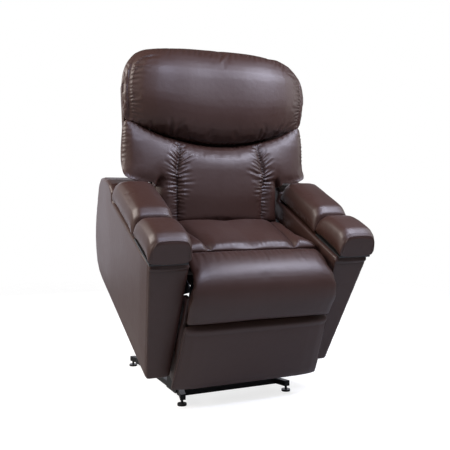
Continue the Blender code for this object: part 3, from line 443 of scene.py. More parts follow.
# ------------------------------------------------------------------ sewing
class Skin:
    """A skin on which seams, folds and gathers are drawn as heights, and then sewn in at once."""

    def __init__(self, piece, axes):
        self.piece = piece
        self.axes = axes
        mesh = piece.data
        self.at = coordinates(mesh)
        self.normal = normals(mesh)
        self.local = axes.inward(self.at)
        self.facing = self.normal @ axes.turn.T
        self.height = np.zeros(len(self.at))
        # painted shade in the creases, per point, for the leather's colour
        self.crease_shade = np.zeros(len(self.at))
        self.tree = BVHTree.FromObject(piece, bpy.context.evaluated_depsgraph_get())

    def lay(self, points, step=STEP, closed=False):
        """Points in the part's own axes, spaced evenly and laid on the skin; returns them in the frame."""
        corners = list(points) + ([points[0]] if closed else [])
        corners = self.axes.outward(corners)
        spaced = []
        for a, b in zip(corners, corners[1:]):
            count = max(1, int(round(np.linalg.norm(b - a) / step)))
            spaced += [a + (b - a) * k / count for k in range(count)]
        spaced.append(corners[-1])
        return np.array([np.array(self.tree.find_nearest(Vector(point))[0]) for point in spaced])

    def near(self, path, reach):
        """For the skin's points within reach of a path: their numbers, distances and shares along it."""
        best = np.full(len(self.at), reach)
        share = np.zeros(len(self.at))
        steps = np.linalg.norm(np.diff(path, axis=0), axis=1)
        total = max(steps.sum(), NIL)
        run = 0.0
        centre = path.mean(axis=0)
        wide = np.max(np.linalg.norm(path - centre, axis=1)) + reach
        nearby = np.flatnonzero(((self.at - centre) ** 2).sum(axis=1) < wide * wide)
        points = self.at[nearby]
        for a, b, length in zip(path, path[1:], steps):
            if length < NIL:
                continue
            along = np.clip((points - a) @ (b - a) / length**2, 0, 1)
            distance = np.linalg.norm(points - a - along[:, None] * (b - a), axis=1)
            closer = distance < best[nearby]
            chosen = nearby[closer]
            best[chosen] = distance[closer]
            share[chosen] = np.minimum(1.0, (run + along[closer] * length) / total)
            run += length
        found = np.flatnonzero(best < reach)
        return found, best[found], share[found]

    def paint_crease_shade(self, found, amount):
        """Paints shade into the colour where the skin is tucked in."""
        self.crease_shade[found] = np.maximum(self.crease_shade[found], amount)

    def seam(self, path, depth, width, crease_shade=0.6):
        """Pulls the skin in along a path, and paints shade close along it."""
        found, distance, _ = self.near(path, width * 4)
        self.height[found] -= depth * np.exp(-distance / width)
        self.paint_crease_shade(found, crease_shade * np.exp(-distance / (0.35 * width)))

    def roll(self, path, rise, width):
        """A rounded swelling along a path."""
        found, distance, _ = self.near(path, width * 3)
        self.height[found] += rise * np.exp(-(distance**2) / (2 * width * width))

    def pucker(self, start, end, depth, width):
        """A crease that is deepest where it starts and fades out, with soft ridges beside it."""
        path = self.lay([start, end], PUCKER_STEP)
        found, distance, share = self.near(path, width * 5)
        spreading = width * (0.7 + 0.9 * share)
        fade = (1 - share) ** 0.7 * np.minimum(1.0, share * 8 + 0.4)
        valley = np.exp(-((distance / spreading) ** 2))
        ridge = np.exp(-(((distance - 1.9 * spreading) / spreading) ** 2))
        self.height[found] += depth * fade * (0.55 * ridge - valley)
        # painted shade in the crease's valley
        self.paint_crease_shade(found, 0.35 * fade * valley)

    def shape(self, function):
        """Adds function(x, y, z, facing) as a height; the arguments are arrays in the part's own axes."""
        self.height += function(self.local[:, 0], self.local[:, 1], self.local[:, 2], self.facing)

    def sew(self):
        """Moves the skin by its heights."""
        mesh = self.piece.data
        place_vertices(mesh, self.at + self.normal * self.height[:, None])
        # the painted crease shade is stored for the leather's colour
        stored = mesh.attributes.get("crease_shade") or mesh.attributes.new("crease_shade", "FLOAT", "POINT")
        stored.data.foreach_set("value", np.clip(self.crease_shade, 0, 1).astype(np.float32))


def gathers(skin, line, across, slant, length, depth, width, spacing, seed):
    """Puckers that start along line, a list of local points, and run across it; slant adds a share of the
    line's direction. length, depth and slant may be functions of the share along the line."""
    draw = np.random.default_rng(seed)
    line = np.array(line, float)
    steps = np.linalg.norm(np.diff(line, axis=0), axis=1)
    reach = np.concatenate(([0.0], np.cumsum(steps)))
    end = reach[-1]

    def place(run):
        return np.array([np.interp(run, reach, line[:, k]) for k in range(3)])

    def value(rule, share):
        return rule(share) if callable(rule) else rule

    at = spacing * 0.5
    while at < end:
        share = at / end
        start = place(at)
        ahead = place(min(at + 0.01, end))
        behind = place(max(at - 0.01, 0.0))
        along = (ahead - behind) / max(np.linalg.norm(ahead - behind), NIL)
        way = np.array(across, float) + along * (value(slant, share) + draw.uniform(-0.18, 0.18))
        way /= np.linalg.norm(way)
        size = value(length, share) * draw.uniform(0.6, 1.3)
        deep = value(depth, share) * draw.uniform(0.5, 1.25)
        skin.pucker(start, start + way * size, deep, width * draw.uniform(0.8, 1.3))
        at += spacing * draw.uniform(0.7, 1.35)


def tube(name, path, radius):
    """Piping: a round cord of leather along a path in the frame."""
    curve = bpy.data.curves.new(name, "CURVE")
    curve.dimensions = "3D"
    curve.bevel_depth = radius
    curve.bevel_resolution = 2
    curve.use_fill_caps = True
    spline = curve.splines.new("POLY")
    spline.points.add(len(path) - 1)
    for point, place in zip(spline.points, path):
        point.co = (*place, 1.0)
    rope = add_object(name, curve)
    graph = bpy.context.evaluated_depsgraph_get()
    mesh = bpy.data.meshes.new_from_object(rope.evaluated_get(graph))
    bpy.data.objects.remove(rope)
    return add_object(name, mesh)


def join_piping(piece, ropes):
    """Adds piping to a skin's own mesh."""
    work = bmesh.new()
    work.from_mesh(piece.data)
    for rope in ropes:
        work.from_mesh(rope.data)
        bpy.data.objects.remove(rope)
    work.to_mesh(piece.data)
    work.free()


def hand_over(piece, body, *nodes, fill=0.8):
    """The finished cushion, in leather, moves with its body and stands for its CAD nodes."""
    piece.data.materials.clear()
    piece.data.materials.append(hide_material())
    piece.data.polygons.foreach_set("use_smooth", [True] * len(piece.data.polygons))
    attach(piece, body)
    if nodes:
        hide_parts(*nodes)


# ------------------------------------------------------------------ back
def crease_height(x):
    """The seam between the lumbar cushion and the head pillow dips in the middle."""
    return CREASE_LOW + CREASE_RISE * (x / BACK_HALF) ** 2


def crease_line(rise, proud):
    """Points along that seam, so much above it and off the back's frame."""
    return [(x, crease_height(x) + rise, proud) for x in np.linspace(-CREASE_HALF, CREASE_HALF, 20)]


def channel_at(s):
    """Half the distance between the lumbar cushion's sewn channels, which draw together under the pillow."""
    return CHANNEL_HALF - CHANNEL_DRAW * bump_step(s, 0.15, 0.32)


def corner(share):
    """From 0 where the pillow's upper corners begin, at a share of its height, to 1 at its top."""
    return np.clip((share - 0.45) / 0.55, 0, 1) ** 2.6


def on_back_frame(x, s, d):
    """The cushions' rear faces are held on the back's frame while they are stuffed."""
    return bump_step(-d, -0.030, -0.016)


def make_head_pillow(sewing):
    piece = remeshed("head_pillow_leather", "head_pillow", sewing.skin, rounds=5, full=0.0040)
    # its upper corners are round, its top is bowed, and its lower corners fall over the wings
    local = own_points(piece, BACK)
    low = crease_height(local[:, 0])
    share = (local[:, 1] - low) / (BACK_TOP - low)
    local[:, 0] *= 1.008 - CORNER_SHARE * corner(share)
    local[:, 1] += np.clip(share, 0, 1) * (0.014 - 0.020 * (local[:, 0] / 0.3) ** 2)
    local[:, 1] -= 0.005 * bump_step(np.abs(local[:, 0]), 0.26, 0.36) * (1 - bump_step(share, 0.0, 0.2))
    set_own_points(piece, BACK, local)
    inflate(piece, BACK, on_back_frame, pressure=3.0, reach=0.010)
    refine(piece)
    skin = Skin(piece, BACK)

    def swell(x, s, d, facing):
        """The stuffing swells either side of the headrest's middle and thins towards both ends."""
        ends = 0.034 * np.abs(x / 0.40) ** 3
        dent = 0.011 * np.exp(-(((x + 0.06) / 0.12) ** 2))
        return np.clip(facing[:, 2], 0, 1) * (0.008 - ends - dent)

    skin.shape(swell)
    # sides: short gathers from the edge seam, inwards
    foot, tall = crease_height(0.38), 0.262
    for side, seed in ((-1, 11), (1, 12)):
        shares = np.linspace(0.04, 0.94, 12)
        edge = [(side * (0.380 - EDGE_DRAW * corner(t)), foot + t * tall, 0.110) for t in shares]
        fan = lambda t: -0.35 * (0.5 - t)
        gathers(skin, edge, (-side, 0.0, 0.3), fan, 0.055, 0.0024, width=0.0052, spacing=0.0150, seed=seed)
    # top: slanting wrinkles, most of them right of the middle
    top = [(x, BACK_TOP - 0.006 - 0.20 * x * x, 0.105) for x in np.linspace(-0.27, 0.30, 12)]
    deeper = lambda t: 0.0006 + 0.0018 * t
    gathers(skin, top, (-0.55, -0.9, 0.4), 0.0, 0.045, deeper, width=0.0048, spacing=0.023, seed=31)
    # bottom: short tucks at the crease, and the long ones that the eye sees
    low = crease_line(0.002, 0.075)
    gathers(skin, low, (0.0, 0.5, 0.8), 0.0, 0.030, 0.0018, width=0.0045, spacing=0.024, seed=41)
    for x, lean, long, deep in PILLOW_TUCKS:
        start = np.array((x, crease_height(x) + 0.004, 0.090))
        way = np.array((lean, 1.0, 0.45))
        skin.pucker(start, start + way / np.linalg.norm(way) * long, deep, 0.0055)
    skin.sew()
    hand_over(piece, "backrest", "head_pillow")


def make_lumbar_cushion(sewing):
    piece = remeshed("back_cushion_leather", "back_cushion", sewing.skin, rounds=3, full=0.0030)
    local = own_points(piece, BACK)
    # the channels go to their place
    side = np.sign(local[:, 0])
    shift = channel_at(local[:, 1]) - CHANNEL_CAD
    local[:, 0] += side * shift * np.clip(1 - np.abs(np.abs(local[:, 0]) - CHANNEL_CAD) / 0.12, 0, 1)
    # the wings hang full, down to the arm pads, and up to the pillow
    out = np.abs(local[:, 0])
    reach = bump_step(out, 0.262, 0.290) * (0.30 + 0.72 * np.clip((out - 0.290) / 0.110, 0, 1))
    local[:, 1] -= reach * np.maximum(0.0, WING_FALL - local[:, 1])
    local[:, 1] += 0.008 * bump_step(out, 0.24, 0.36) * bump_step(local[:, 1], 0.30, 0.36)
    local[:, 0] += side * 0.003 * bump_step(out, 0.28, 0.40)
    set_own_points(piece, BACK, local)
    inflate(piece, BACK, on_back_frame, pressure=2.5, reach=0.006)
    # the wings are thin behind, to pass over the arms as the back reclines
    local = own_points(piece, BACK)
    clear = ARM_CLEAR - ARM_SLOPE * np.maximum(0.0, local[:, 1] - 0.150)
    over = bump_step(np.abs(local[:, 0]), 0.268, 0.284) * np.maximum(0.0, clear - local[:, 2])
    local[:, 2] += over * WING_THIN
    set_own_points(piece, BACK, local)
    refine(piece)
    skin = Skin(piece, BACK)
    slant = lambda t: 0.9 * bump_step(t, 0.35, 0.85)
    long = lambda t: 0.034 + 0.040 * math.exp(-(((t - 0.62) / 0.3) ** 2))
    short = lambda t: 0.8 * long(t)
    deep = lambda t: sewing.gather * (0.45 + 0.55 * math.exp(-(((t - 0.65) / 0.28) ** 2)))
    channel_top = crease_height(0.19) - 0.006
    for side, seed in ((-1, 51), (1, 52)):
        line = [(side * channel_at(s), s, 0.12) for s in np.linspace(BACK_LOW + 0.02, channel_top, 16)]
        skin.seam(skin.lay(line), sewing.channel, 0.007, crease_shade=0.8)
        gathers(skin, line, (-side, 0.0, 0.0), slant, long, deep, width=0.0042, spacing=0.0125, seed=seed)
        gathers(skin, line, (side, 0.0, 0.0), slant, short, deep, width=0.0042, spacing=0.0125, seed=seed + 4)
        edge = [(side * 0.396, s, 0.070) for s in np.linspace(0.165, 0.355, 10)]
        gathers(skin, edge, (-side, 0.0, 0.8), 0.1, 0.028, 0.0024, width=0.0040, spacing=0.014, seed=seed + 8)
    low = crease_line(-0.006, 0.080)
    gathers(skin, low, (0.0, -0.6, 0.8), 0.0, 0.030, 0.0014, width=0.0045, spacing=0.026, seed=71)
    skin.sew()
    hand_over(piece, "backrest", "back_cushion")


def make_back_shell():
    """The outside back is a flat panel with a seam 30 mm in from its edge."""
    piece = remeshed("back_shell_leather", "back_shell", SHELL_SKIN)
    refine(piece)
    skin = Skin(piece, BACK)
    border = [(-x, s, d) for x, s, d in SHELL_SEAM] + list(reversed(SHELL_SEAM))
    skin.seam(skin.lay(border, closed=True), 0.0035, 0.004)
    skin.sew()
    hand_over(piece, "backrest", "back_shell", fill=0.4)


# ------------------------------------------------------------------ seat and legrest
def make_seat_cushion(sewing):
    piece = remeshed("seat_cushion_leather", "seat_cushion", sewing.skin, rounds=9, full=0.0030)
    inflate(piece, CHAIR, lambda x, v, w: bump_step(-w, -0.400, -0.360), pressure=2.5, reach=0.006)
    refine(piece)
    skin = Skin(piece, CHAIR)
    for side in (-1, 1):
        line = []
        for t in np.linspace(0.0, 1.0, 14):
            line.append((side * (SEAT_SEAM + 0.045 * (t - 0.1)), SEAT_FRONT + 0.30 * t, 0.49 - 0.04 * t))
        skin.seam(skin.lay(line), sewing.channel * 0.8, 0.007, crease_shade=0.7)

    def side_panels(x, v, w, facing):
        """They stand a little above the middle, and are widest at the front."""
        out = bump_step(np.abs(x) - SEAT_SEAM - 0.15 * (v - 0.1385), 0.0, 0.030)
        front, rear = bump_step(v, 0.10, 0.14), 1 - bump_step(v, 0.32, 0.40)
        return 0.009 * out * bump_step(w, 0.40, 0.44) * front * rear

    skin.shape(side_panels)
    rim = [(x, 0.125, 0.478) for x in np.linspace(-0.165, 0.165, 16)]
    gathers(skin, rim, (0.0, 1.0, 0.0), 0.0, 0.050, 0.0005, width=0.0055, spacing=0.018, seed=81)
    skin.sew()
    hand_over(piece, "chassis", "seat_cushion")


def make_bolster(sewing):
    piece = remeshed("bolster_leather", "bolster", sewing.skin, rounds=2, full=0.0012)
    # its front is stuffed out to the arms
    local = own_points(piece, CHAIR)
    face = 1 - bump_step(local[:, 1], -0.030, 0.012)
    local[:, 0] *= 1 + 0.036 * face * bump_step(local[:, 2], 0.30, 0.36)
    set_own_points(piece, CHAIR, local)
    inflate(piece, CHAIR, lambda x, v, w: bump_step(v, 0.060, 0.095), pressure=2.0, reach=0.005)
    local = own_points(piece, CHAIR)
    limit = BOLSTER_HALF + BOLSTER_BELLY * (1 - bump_step(local[:, 2], 0.350, 0.385))
    local[:, 0] = np.clip(local[:, 0], -limit, limit)
    set_own_points(piece, CHAIR, local)
    refine(piece)
    skin = Skin(piece, CHAIR)
    rim = [(x, 0.100, 0.474) for x in np.linspace(-0.255, 0.255, 24)]
    gathers(skin, rim, (0.0, -1.0, -0.05), 0.0, 0.075, 0.0010, width=0.0045, spacing=0.013, seed=91)
    skin.sew()
    hand_over(piece, "legrest", "bolster")


def make_foot_panel(sewing):
    piece = remeshed("foot_panel_leather", "foot_panel", sewing.skin)
    # the hem is turned up a little
    local = own_points(piece, CHAIR)
    local[:, 2] += HEM_RISE * (1 - bump_step(local[:, 2], -0.025, 0.060))
    set_own_points(piece, CHAIR, local)
    refine(piece)
    skin = Skin(piece, CHAIR)
    # a rolled lip along the top, with its seam below
    widths = np.linspace(-0.29, 0.29, 30)
    skin.roll(skin.lay([(x, -0.070, 0.243) for x in widths]), 0.0030, 0.006)
    skin.seam(skin.lay([(x, -0.075, 0.228) for x in widths]), 0.0015, 0.006, crease_shade=0.1)
    skin.sew()
    ropes = []
    for side in (-1, 1):
        shares = np.linspace(0.0, 1.0, 12)
        edge = [(side * (PANEL_TOP_HALF + PANEL_FLARE * t), -0.058, 0.250 - 0.262 * t) for t in shares]
        ropes.append(tube(f"piping_{side}", skin.lay(edge, PIPING_STEP), PIPING_R))
    join_piping(piece, ropes)
    hand_over(piece, "legrest", "foot_panel", fill=0.6)


def make_legrest_side(side, word):
    """The legrest is boxed in: a thin padded side closes each end of it, behind the foot panel."""
    work = bmesh.new()
    rows = []
    for x in (LEG_SIDE_IN, LEG_SIDE_OUT):
        outline = CHAIR.outward([(side * x, v, w) for v, w in LEG_SIDE_OUTLINE])
        rows.append([work.verts.new(point) for point in outline])
    for row in rows:
        work.faces.new(row)
    for k in range(len(LEG_SIDE_OUTLINE)):
        following = (k + 1) % len(LEG_SIDE_OUTLINE)
        work.faces.new((rows[0][k], rows[0][following], rows[1][following], rows[1][k]))
    bmesh.ops.recalc_face_normals(work, faces=work.faces)
    bmesh.ops.bevel(work, geom=work.edges[:], offset=LEG_SIDE_ROUND, segments=3, affect="EDGES")
    hand_over(add_mesh("legrest_side_" + word, work), "legrest", fill=0.3)


# ------------------------------------------------------------------ arms
def arm_outer(w):
    """The outer face of the arm's panel, which leans out."""
    return ARM_FOOT_OUT + ARM_FLARE * w / ARM_TOP


def arm_inner(w):
    return ARM_IN


def make_arm(side, word):
    node = "arm_" + word
    piece = remeshed(node + "_leather", node, ARM_SKIN)
    refine(piece)
    skin = Skin(piece, CHAIR)

    def foam(x, v, w, facing):
        """The outer panel is wrapped in thin foam: a slight swell."""
        outside = np.clip(facing[:, 0] * side, 0, 1) ** 4
        front, rear = bump_step(v, 0.0, 0.10), 1 - bump_step(v, 0.50, 0.75)
        return 0.004 * outside * front * rear * bump_step(w, 0.02, 0.12)

    skin.shape(foam)
    # a seam just behind the front edge, outside and inside
    heights = np.linspace(0.006, ARM_TOP - 0.004, 20)
    for face in (arm_outer, arm_inner):
        skin.seam(skin.lay([(side * face(w), 0.012, w) for w in heights]), 0.0022, 0.003, crease_shade=0.4)
    # the front's brow is rolled over the top
    brow = []
    for x in np.linspace(ARM_IN + 0.004, 0.434, 16):
        brow.append((side * x, -0.001, ARM_TOP - 0.016 - 0.004 * math.sin(math.pi * (x - 0.29) / 0.15)))
    skin.roll(skin.lay(brow), 0.0028, 0.004)
    skin.seam(skin.lay([(x, v, w - 0.009) for x, v, w in brow]), 0.0016, 0.003, crease_shade=0.3)
    skin.sew()
    cut_well(piece, side)
    hand_over(piece, "chassis", node, fill=0.3)


def cut_well(piece, side):
    """Opens the storage well through the leather, down to its tray."""
    (x0, v0, w0), (x1, v1, w1) = WELL
    work = bmesh.new()
    corners = [(side * x, v, w) for x in (x0, x1) for v in (v0, v1) for w in (w0, w1)]
    bmesh.ops.convex_hull(work, input=[work.verts.new(point) for point in CHAIR.outward(corners)])
    bmesh.ops.recalc_face_normals(work, faces=work.faces)
    tool = add_mesh("well_tool", work)
    cut = piece.modifiers.new("well", "BOOLEAN")
    cut.object = tool
    cut.operation = "DIFFERENCE"
    cut.solver = "EXACT"
    baked(piece)
    bpy.data.objects.remove(tool)


def on_arm_board(x, v, w):
    """The pads' undersides are held on their boards while they are stuffed."""
    return bump_step(-w, -0.510, -0.495)


def make_arm_pad(side, word):
    node = "arm_pad_" + word
    piece = remeshed(node + "_leather", node, PAD_SKIN, rounds=10, full=0.0050)
    inflate(piece, CHAIR, on_arm_board, pressure=2.0, reach=0.004)
    refine(piece)
    skin = Skin(piece, CHAIR)
    for edge in (-1, 1):
        x = side * PAD_MIDDLE + edge * PAD_EDGE
        line = [(x, v, 0.500) for v in np.linspace(0.195, 0.478, 10)]
        gathers(skin, line, (0.0, 0.0, 1.0), 0.0, 0.022, 0.0012, width=0.0040, spacing=0.030, seed=101 + edge)
    skin.sew()
    hand_over(piece, "chassis", node)


def make_arm_cap(side, word):
    """A sliding cap. Its front end is a flat D, closed by a welt."""
    node = "arm_cap_" + word
    piece = remeshed(node + "_leather", node, PAD_SKIN, rounds=10, full=0.0050)
    held = lambda x, v, w: np.maximum(on_arm_board(x, v, w), bump_step(-v, -0.004, 0.004))
    inflate(piece, CHAIR, held, pressure=2.0, reach=0.004)
    refine(piece)
    local = own_points(piece, CHAIR)
    front = local[:, 1] < CAP_FACE + CAP_FLAT
    local[front, 1] = CAP_FACE + CAP_FLAT * np.clip((local[front, 1] - CAP_FACE) / CAP_FLAT, 0, 1) ** 2
    set_own_points(piece, CHAIR, local)
    skin = Skin(piece, CHAIR)
    outline = [(-a, b) for a, b in CAP_OUTLINE] + [(0, 1)] + list(reversed(CAP_OUTLINE))
    border = [(side * PAD_MIDDLE + CAP_HALF * a, CAP_FACE, CAP_LOW + CAP_RISE * b) for a, b in outline]
    welt = skin.lay(border)
    skin.sew()
    join_piping(piece, [tube("welt_" + word, welt, WELT_R)])
    hand_over(piece, "arm_cap_" + word, node)


# ------------------------------------------------------------------ frame finishes
PAIRED = "base_side_rail lift_bracket lift_arm guide_link side_plate arm_rail back_stile legrest_hinge".split()
BARS = "base_front_bar base_rear_bar lift_cross_tube rear_cross_tube recline_anchor_tube back_lower_rail".split()
STEEL = BARS + ["lift_motor_bracket"] + [f"{name}_{word}" for name in PAIRED for _, word in SIDES]
SPRINGS = [f"seat_spring_{k}" for k in (1, 2, 3, 4)]
BRIGHT = ["base_pivot_shaft", "lift_rod", "legrest_rod", "recline_rod"] + SPRINGS
TIMBER = "seat_front_rail seat_rear_rail legrest_board back_top_rail".split()
PLASTIC = "lift_motor legrest_motor recline_motor control_box arm_cap_board_left arm_cap_board_right".split()
FEET = [f"levelling_foot_{end}_{word}" for end in ("front", "rear") for _, word in SIDES]
TRAYS = [f"storage_tray_{word}" for _, word in SIDES]


def finish_frame():
    """Each piece of the CAD frame gets the finish of what it is made of."""
    sets = (
        (STEEL, powder_coat("steel_powder_coated_black", "#0b0b0c", roughness=0.48)),
        (BRIGHT, zinc_plate("steel_zinc_plated")),
        (TIMBER, plywood("birch_plywood_stained")),
        (PLASTIC, moulded_plastic("abs_moulded_matt_black", "#111112", roughness=0.5, grit=0.0016)),
        (FEET, moulded_plastic("nylon_moulded_black", "#18181a", roughness=0.42, grit=0.0020)),
        (TRAYS, moulded_plastic("abs_tray_matt_black", "#242426", roughness=0.55, grit=0.0012)),
    )
    for names, material in sets:
        for name in names:
            mesh = frame["nodes"][name].data
            if len(mesh.materials) == 0:
                mesh.materials.append(material)
            for k in range(len(mesh.materials)):
                mesh.materials[k] = material


# ------------------------------------------------------------------ studio
def softbox(name, place, target, size, power, colour="#ffffff"):
    """A rectangular light that shines at a target and isn't seen by the camera."""
    lamp = bpy.data.lights.new(name, "AREA")
    lamp.shape = "RECTANGLE"
    lamp.size, lamp.size_y = size
    lamp.energy = power
    lamp.color = linear(colour)[:3]
    light = add_object(name, lamp)
    light.location = place
    light.visible_camera = False
    light.rotation_mode = "QUATERNION"
    light.rotation_quaternion = (Vector(target) - light.location).to_track_quat("-Z", "Y")


def make_floor(radius):
    """A white floor that keeps the chair's shadow and fades into the white room."""
    work = bmesh.new()
    bmesh.ops.create_circle(work, cap_ends=True, segments=96, radius=radius)
    floor = add_mesh("studio_floor", work)
    floor.location = (0.0, 0.0, -0.0005)
    material, tree, at = new_material("paper_sweep_white")
    out = add_node(tree, "VectorMath", {0: at}, operation="LENGTH").outputs["Value"]
    edge = add_node(tree, "MapRange", {"Value": out, "From Min": 0.35 * radius, "From Max": 0.95 * radius})
    seen = add_node(tree, "LightPath").outputs["Is Camera Ray"]
    matt = add_node(tree, "BsdfDiffuse", {"Color": linear("#a8a8a8")})
    glow = add_node(tree, "Emission", {"Color": (1, 1, 1, 1), "Strength": FLOOR_GLOW})
    none = add_node(tree, "Emission", {"Color": (0, 0, 0, 1), "Strength": 0.0})
    lift = mix_shaders(tree, seen, none, glow)
    lit = add_node(tree, "AddShader", {0: matt.outputs[0], 1: lift.outputs[0]})
    clear = add_node(tree, "BsdfTransparent")
    surface = mix_shaders(tree, edge.outputs["Result"], lit, clear)
    floor.data.materials.append(finish_surface(material, surface))


def make_world(fill, room):
    """White to the camera; a plain grey room to everything else."""
    world = bpy.data.worlds.new("studio")
    bpy.context.scene.world = world
    world.use_nodes = True
    tree = world.node_tree
    tree.nodes.clear()
    seen = add_node(tree, "LightPath").outputs
    white = add_node(tree, "Background", {"Color": (1, 1, 1, 1), "Strength": 1.0})
    soft = add_node(tree, "Background", {"Color": linear("#ffffff"), "Strength": fill})
    gloss = add_node(tree, "Background", {"Color": linear("#ffffff"), "Strength": room})
    inner = mix_shaders(tree, seen["Is Glossy Ray"], soft, gloss)
    mixed = mix_shaders(tree, seen["Is Camera Ray"], inner, white)
    add_node(tree, "OutputWorld", {"Surface": mixed.outputs[0]})


def make_camera(focal_length):
    """The photograph's camera, from the left and level with the seat."""
    lens = bpy.data.cameras.new("photo_camera")
    lens.lens = focal_length
    lens.sensor_width = SENSOR
    lens.sensor_fit = "AUTO"
    camera = add_object("photo_camera", lens)
    camera.location = CAMERA_PLACE
    a, e = CAMERA_AZIMUTH, CAMERA_RISE
    back = Vector((math.sin(a) * math.cos(e), -math.cos(a) * math.cos(e), math.sin(e)))
    camera.rotation_mode = "QUATERNION"
    camera.rotation_quaternion = (-back).to_track_quat("-Z", "Y")
    bpy.context.scene.camera = camera


def make_stage(stage):
    bpy.context.scene.view_settings.view_transform = "Standard"
    make_camera(stage.lens)
    make_floor(FLOOR_RADIUS)
    make_world(stage.fill, stage.room)
    softbox("key_left", (-2.5, 0.25, 2.2), CHEST, (1.4, 1.6), stage.key, "#fff6f0")
    softbox("front_left", (-0.20, -1.75, 2.35), CHEST, (0.35, 0.40), 1.5 * stage.top, "#dfe3ff")
    softbox("front_right", (1.80, -1.55, 2.40), CHEST, (0.60, 0.65), 0.8 * stage.top, "#dfe3ff")
    softbox("top_front", (0.95, -1.05, 2.10), (0.0, -0.4, 0.6), (0.7, 0.50), 1.6 * stage.top, "#e8eaff")
    softbox("fill_right", (2.6, -0.4, 1.8), CHEST, (1.2, 1.6), stage.side)
    # the white backdrop behind the chair, as its tops and sides reflect it
    softbox("backdrop", (0.2, 2.8, 1.3), (0.0, 0.0, 0.9), (5.0, 2.6), stage.back, "#f2f2ff")


# ------------------------------------------------------------------ settings
def number_field(name, description, default, low, high, **extra):
    extra.update(name=name, description=description, default=default, min=low, max=high)
    return bpy.props.FloatProperty(**extra)


def size_field(name, description, default, low, high):
    return number_field(name, description, default, low, high, unit="LENGTH", precision=4)


def power_field(name, description, default):
    return number_field(name, description, default, 0.0, 1000.0, subtype="POWER")


def colour_field(name, description, default):
    description += ", as an sRGB hex code"
    return bpy.props.StringProperty(name=name, description=description, default=default)


class ReclinerLeather(bpy.types.PropertyGroup):
    hide: colour_field("Hide", "Colour of the leather", "#2f1a13")
    bloom: colour_field("Bloom", "Its paler clouds", "#36211a")
    roughness: number_field("Roughness", "How matt the top coat is", 0.46, 0.1, 0.9)
    specular: number_field("Specular", "Strength of the top coat's reflection", 0.48, 0.0, 1.0)


class ReclinerSewing(bpy.types.PropertyGroup):
    skin: size_field("Skin mesh", "Size of the quads that the cushions are made of", 0.006, 0.004, 0.02)
    channel: size_field("Channel depth", "How far the sewn channels pull in", 0.007, 0.0, 0.03)
    gather: size_field("Gather depth", "Depth of the puckers beside the channels", 0.0040, 0.0, 0.02)


class ReclinerStage(bpy.types.PropertyGroup):
    lens: number_field("Lens", "Focal length of the camera", 52.55, 10.0, 200.0, subtype="DISTANCE_CAMERA")
    fill: number_field("Fill", "Light from the whole room", 0.20, 0.0, 2.0)
    room: number_field("Room in reflections", "How bright the room is in the gloss", 0.11, 0.0, 2.0)
    key: power_field("Key light", "Power of the large softbox on the left", 120.0)
    top: power_field("Front lights", "Power that the three softboxes in front take their shares of", 24.0)
    back: power_field("Backdrop", "Power of the white backdrop behind the chair", 55.0)
    side: power_field("Side light", "Power of the softbox on the right", 16.0)


# ------------------------------------------------------------------ operators
class RECLINER_OT_frame_finishes(bpy.types.Operator):
    """Powder coat, zinc, plywood and plastic on the frame, the lift and the motors"""

    bl_idname = "recliner.frame_finishes"
    bl_label = "Frame finishes"

    def execute(self, context):
        finish_frame()
        return {"FINISHED"}


class RECLINER_OT_head_pillow(bpy.types.Operator):
    """The head pillow, gathered at its sides"""

    bl_idname = "recliner.head_pillow"
    bl_label = "Head pillow"

    def execute(self, context):
        make_head_pillow(context.scene.recliner_sewing)
        return {"FINISHED"}


class RECLINER_OT_lumbar_cushion(bpy.types.Operator):
    """The lumbar cushion with its two sewn channels"""

    bl_idname = "recliner.lumbar_cushion"
    bl_label = "Lumbar cushion"

    def execute(self, context):
        make_lumbar_cushion(context.scene.recliner_sewing)
        return {"FINISHED"}


class RECLINER_OT_back_shell(bpy.types.Operator):
    """The upholstered outside back"""

    bl_idname = "recliner.back_shell"
    bl_label = "Outside back"

    def execute(self, context):
        make_back_shell()
        return {"FINISHED"}


class RECLINER_OT_seat_cushion(bpy.types.Operator):
    """The seat cushion with its side panels"""

    bl_idname = "recliner.seat_cushion"
    bl_label = "Seat cushion"

    def execute(self, context):
        make_seat_cushion(context.scene.recliner_sewing)
        return {"FINISHED"}


class RECLINER_OT_legrest(bpy.types.Operator):
    """The calf bolster, the foot panel and the legrest's closed sides"""

    bl_idname = "recliner.legrest"
    bl_label = "Legrest"

    def execute(self, context):
        make_bolster(context.scene.recliner_sewing)
        make_foot_panel(context.scene.recliner_sewing)
        for side, word in SIDES:
            make_legrest_side(side, word)
        return {"FINISHED"}


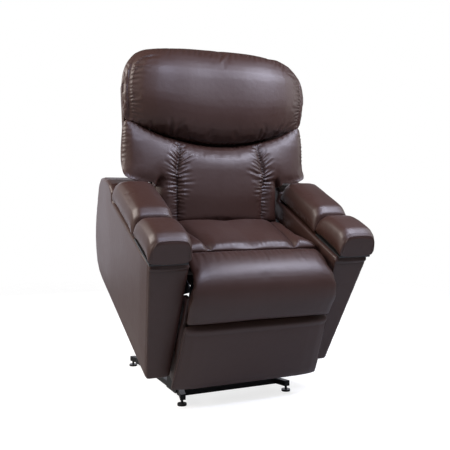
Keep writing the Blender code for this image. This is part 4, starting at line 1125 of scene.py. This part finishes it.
class RECLINER_OT_arms(bpy.types.Operator):
    """The upholstered arms, their fixed pads and their sliding caps"""

    bl_idname = "recliner.arms"
    bl_label = "Arms"

    def execute(self, context):
        for side, word in SIDES:
            make_arm(side, word)
            make_arm_pad(side, word)
            make_arm_cap(side, word)
        return {"FINISHED"}


class RECLINER_OT_stage(bpy.types.Operator):
    """The camera, the floor and the studio light"""

    bl_idname = "recliner.stage"
    bl_label = "Studio"

    def execute(self, context):
        make_stage(context.scene.recliner_stage)
        return {"FINISHED"}


STEPS = "frame_finishes head_pillow lumbar_cushion back_shell seat_cushion legrest arms stage".split()


class RECLINER_PT_panel(bpy.types.Panel):
    bl_idname = "RECLINER_PT_panel"
    bl_label = "Lift recliner"
    bl_space_type = "VIEW_3D"
    bl_region_type = "UI"
    bl_category = "Recliner"

    def draw(self, context):
        for step in STEPS:
            self.layout.operator("recliner." + step)
        scene = context.scene
        for group in (scene.recliner_leather, scene.recliner_sewing, scene.recliner_stage):
            column = self.layout.column(align=True)
            for name in group.__annotations__:
                column.prop(group, name)


CLASSES = (
    ReclinerLeather,
    ReclinerSewing,
    ReclinerStage,
    RECLINER_OT_frame_finishes,
    RECLINER_OT_head_pillow,
    RECLINER_OT_lumbar_cushion,
    RECLINER_OT_back_shell,
    RECLINER_OT_seat_cushion,
    RECLINER_OT_legrest,
    RECLINER_OT_arms,
    RECLINER_OT_stage,
    RECLINER_PT_panel,
)


def register():
    for kind in CLASSES:
        bpy.utils.register_class(kind)
    bpy.types.Scene.recliner_leather = bpy.props.PointerProperty(type=ReclinerLeather)
    bpy.types.Scene.recliner_sewing = bpy.props.PointerProperty(type=ReclinerSewing)
    bpy.types.Scene.recliner_stage = bpy.props.PointerProperty(type=ReclinerStage)


def unregister():
    del bpy.types.Scene.recliner_stage
    del bpy.types.Scene.recliner_sewing
    del bpy.types.Scene.recliner_leather
    for kind in reversed(CLASSES):
        bpy.utils.unregister_class(kind)


def main():
    register()
    for step in STEPS:
        getattr(bpy.ops.recliner, step)()


if __name__ == "__main__":
    main()
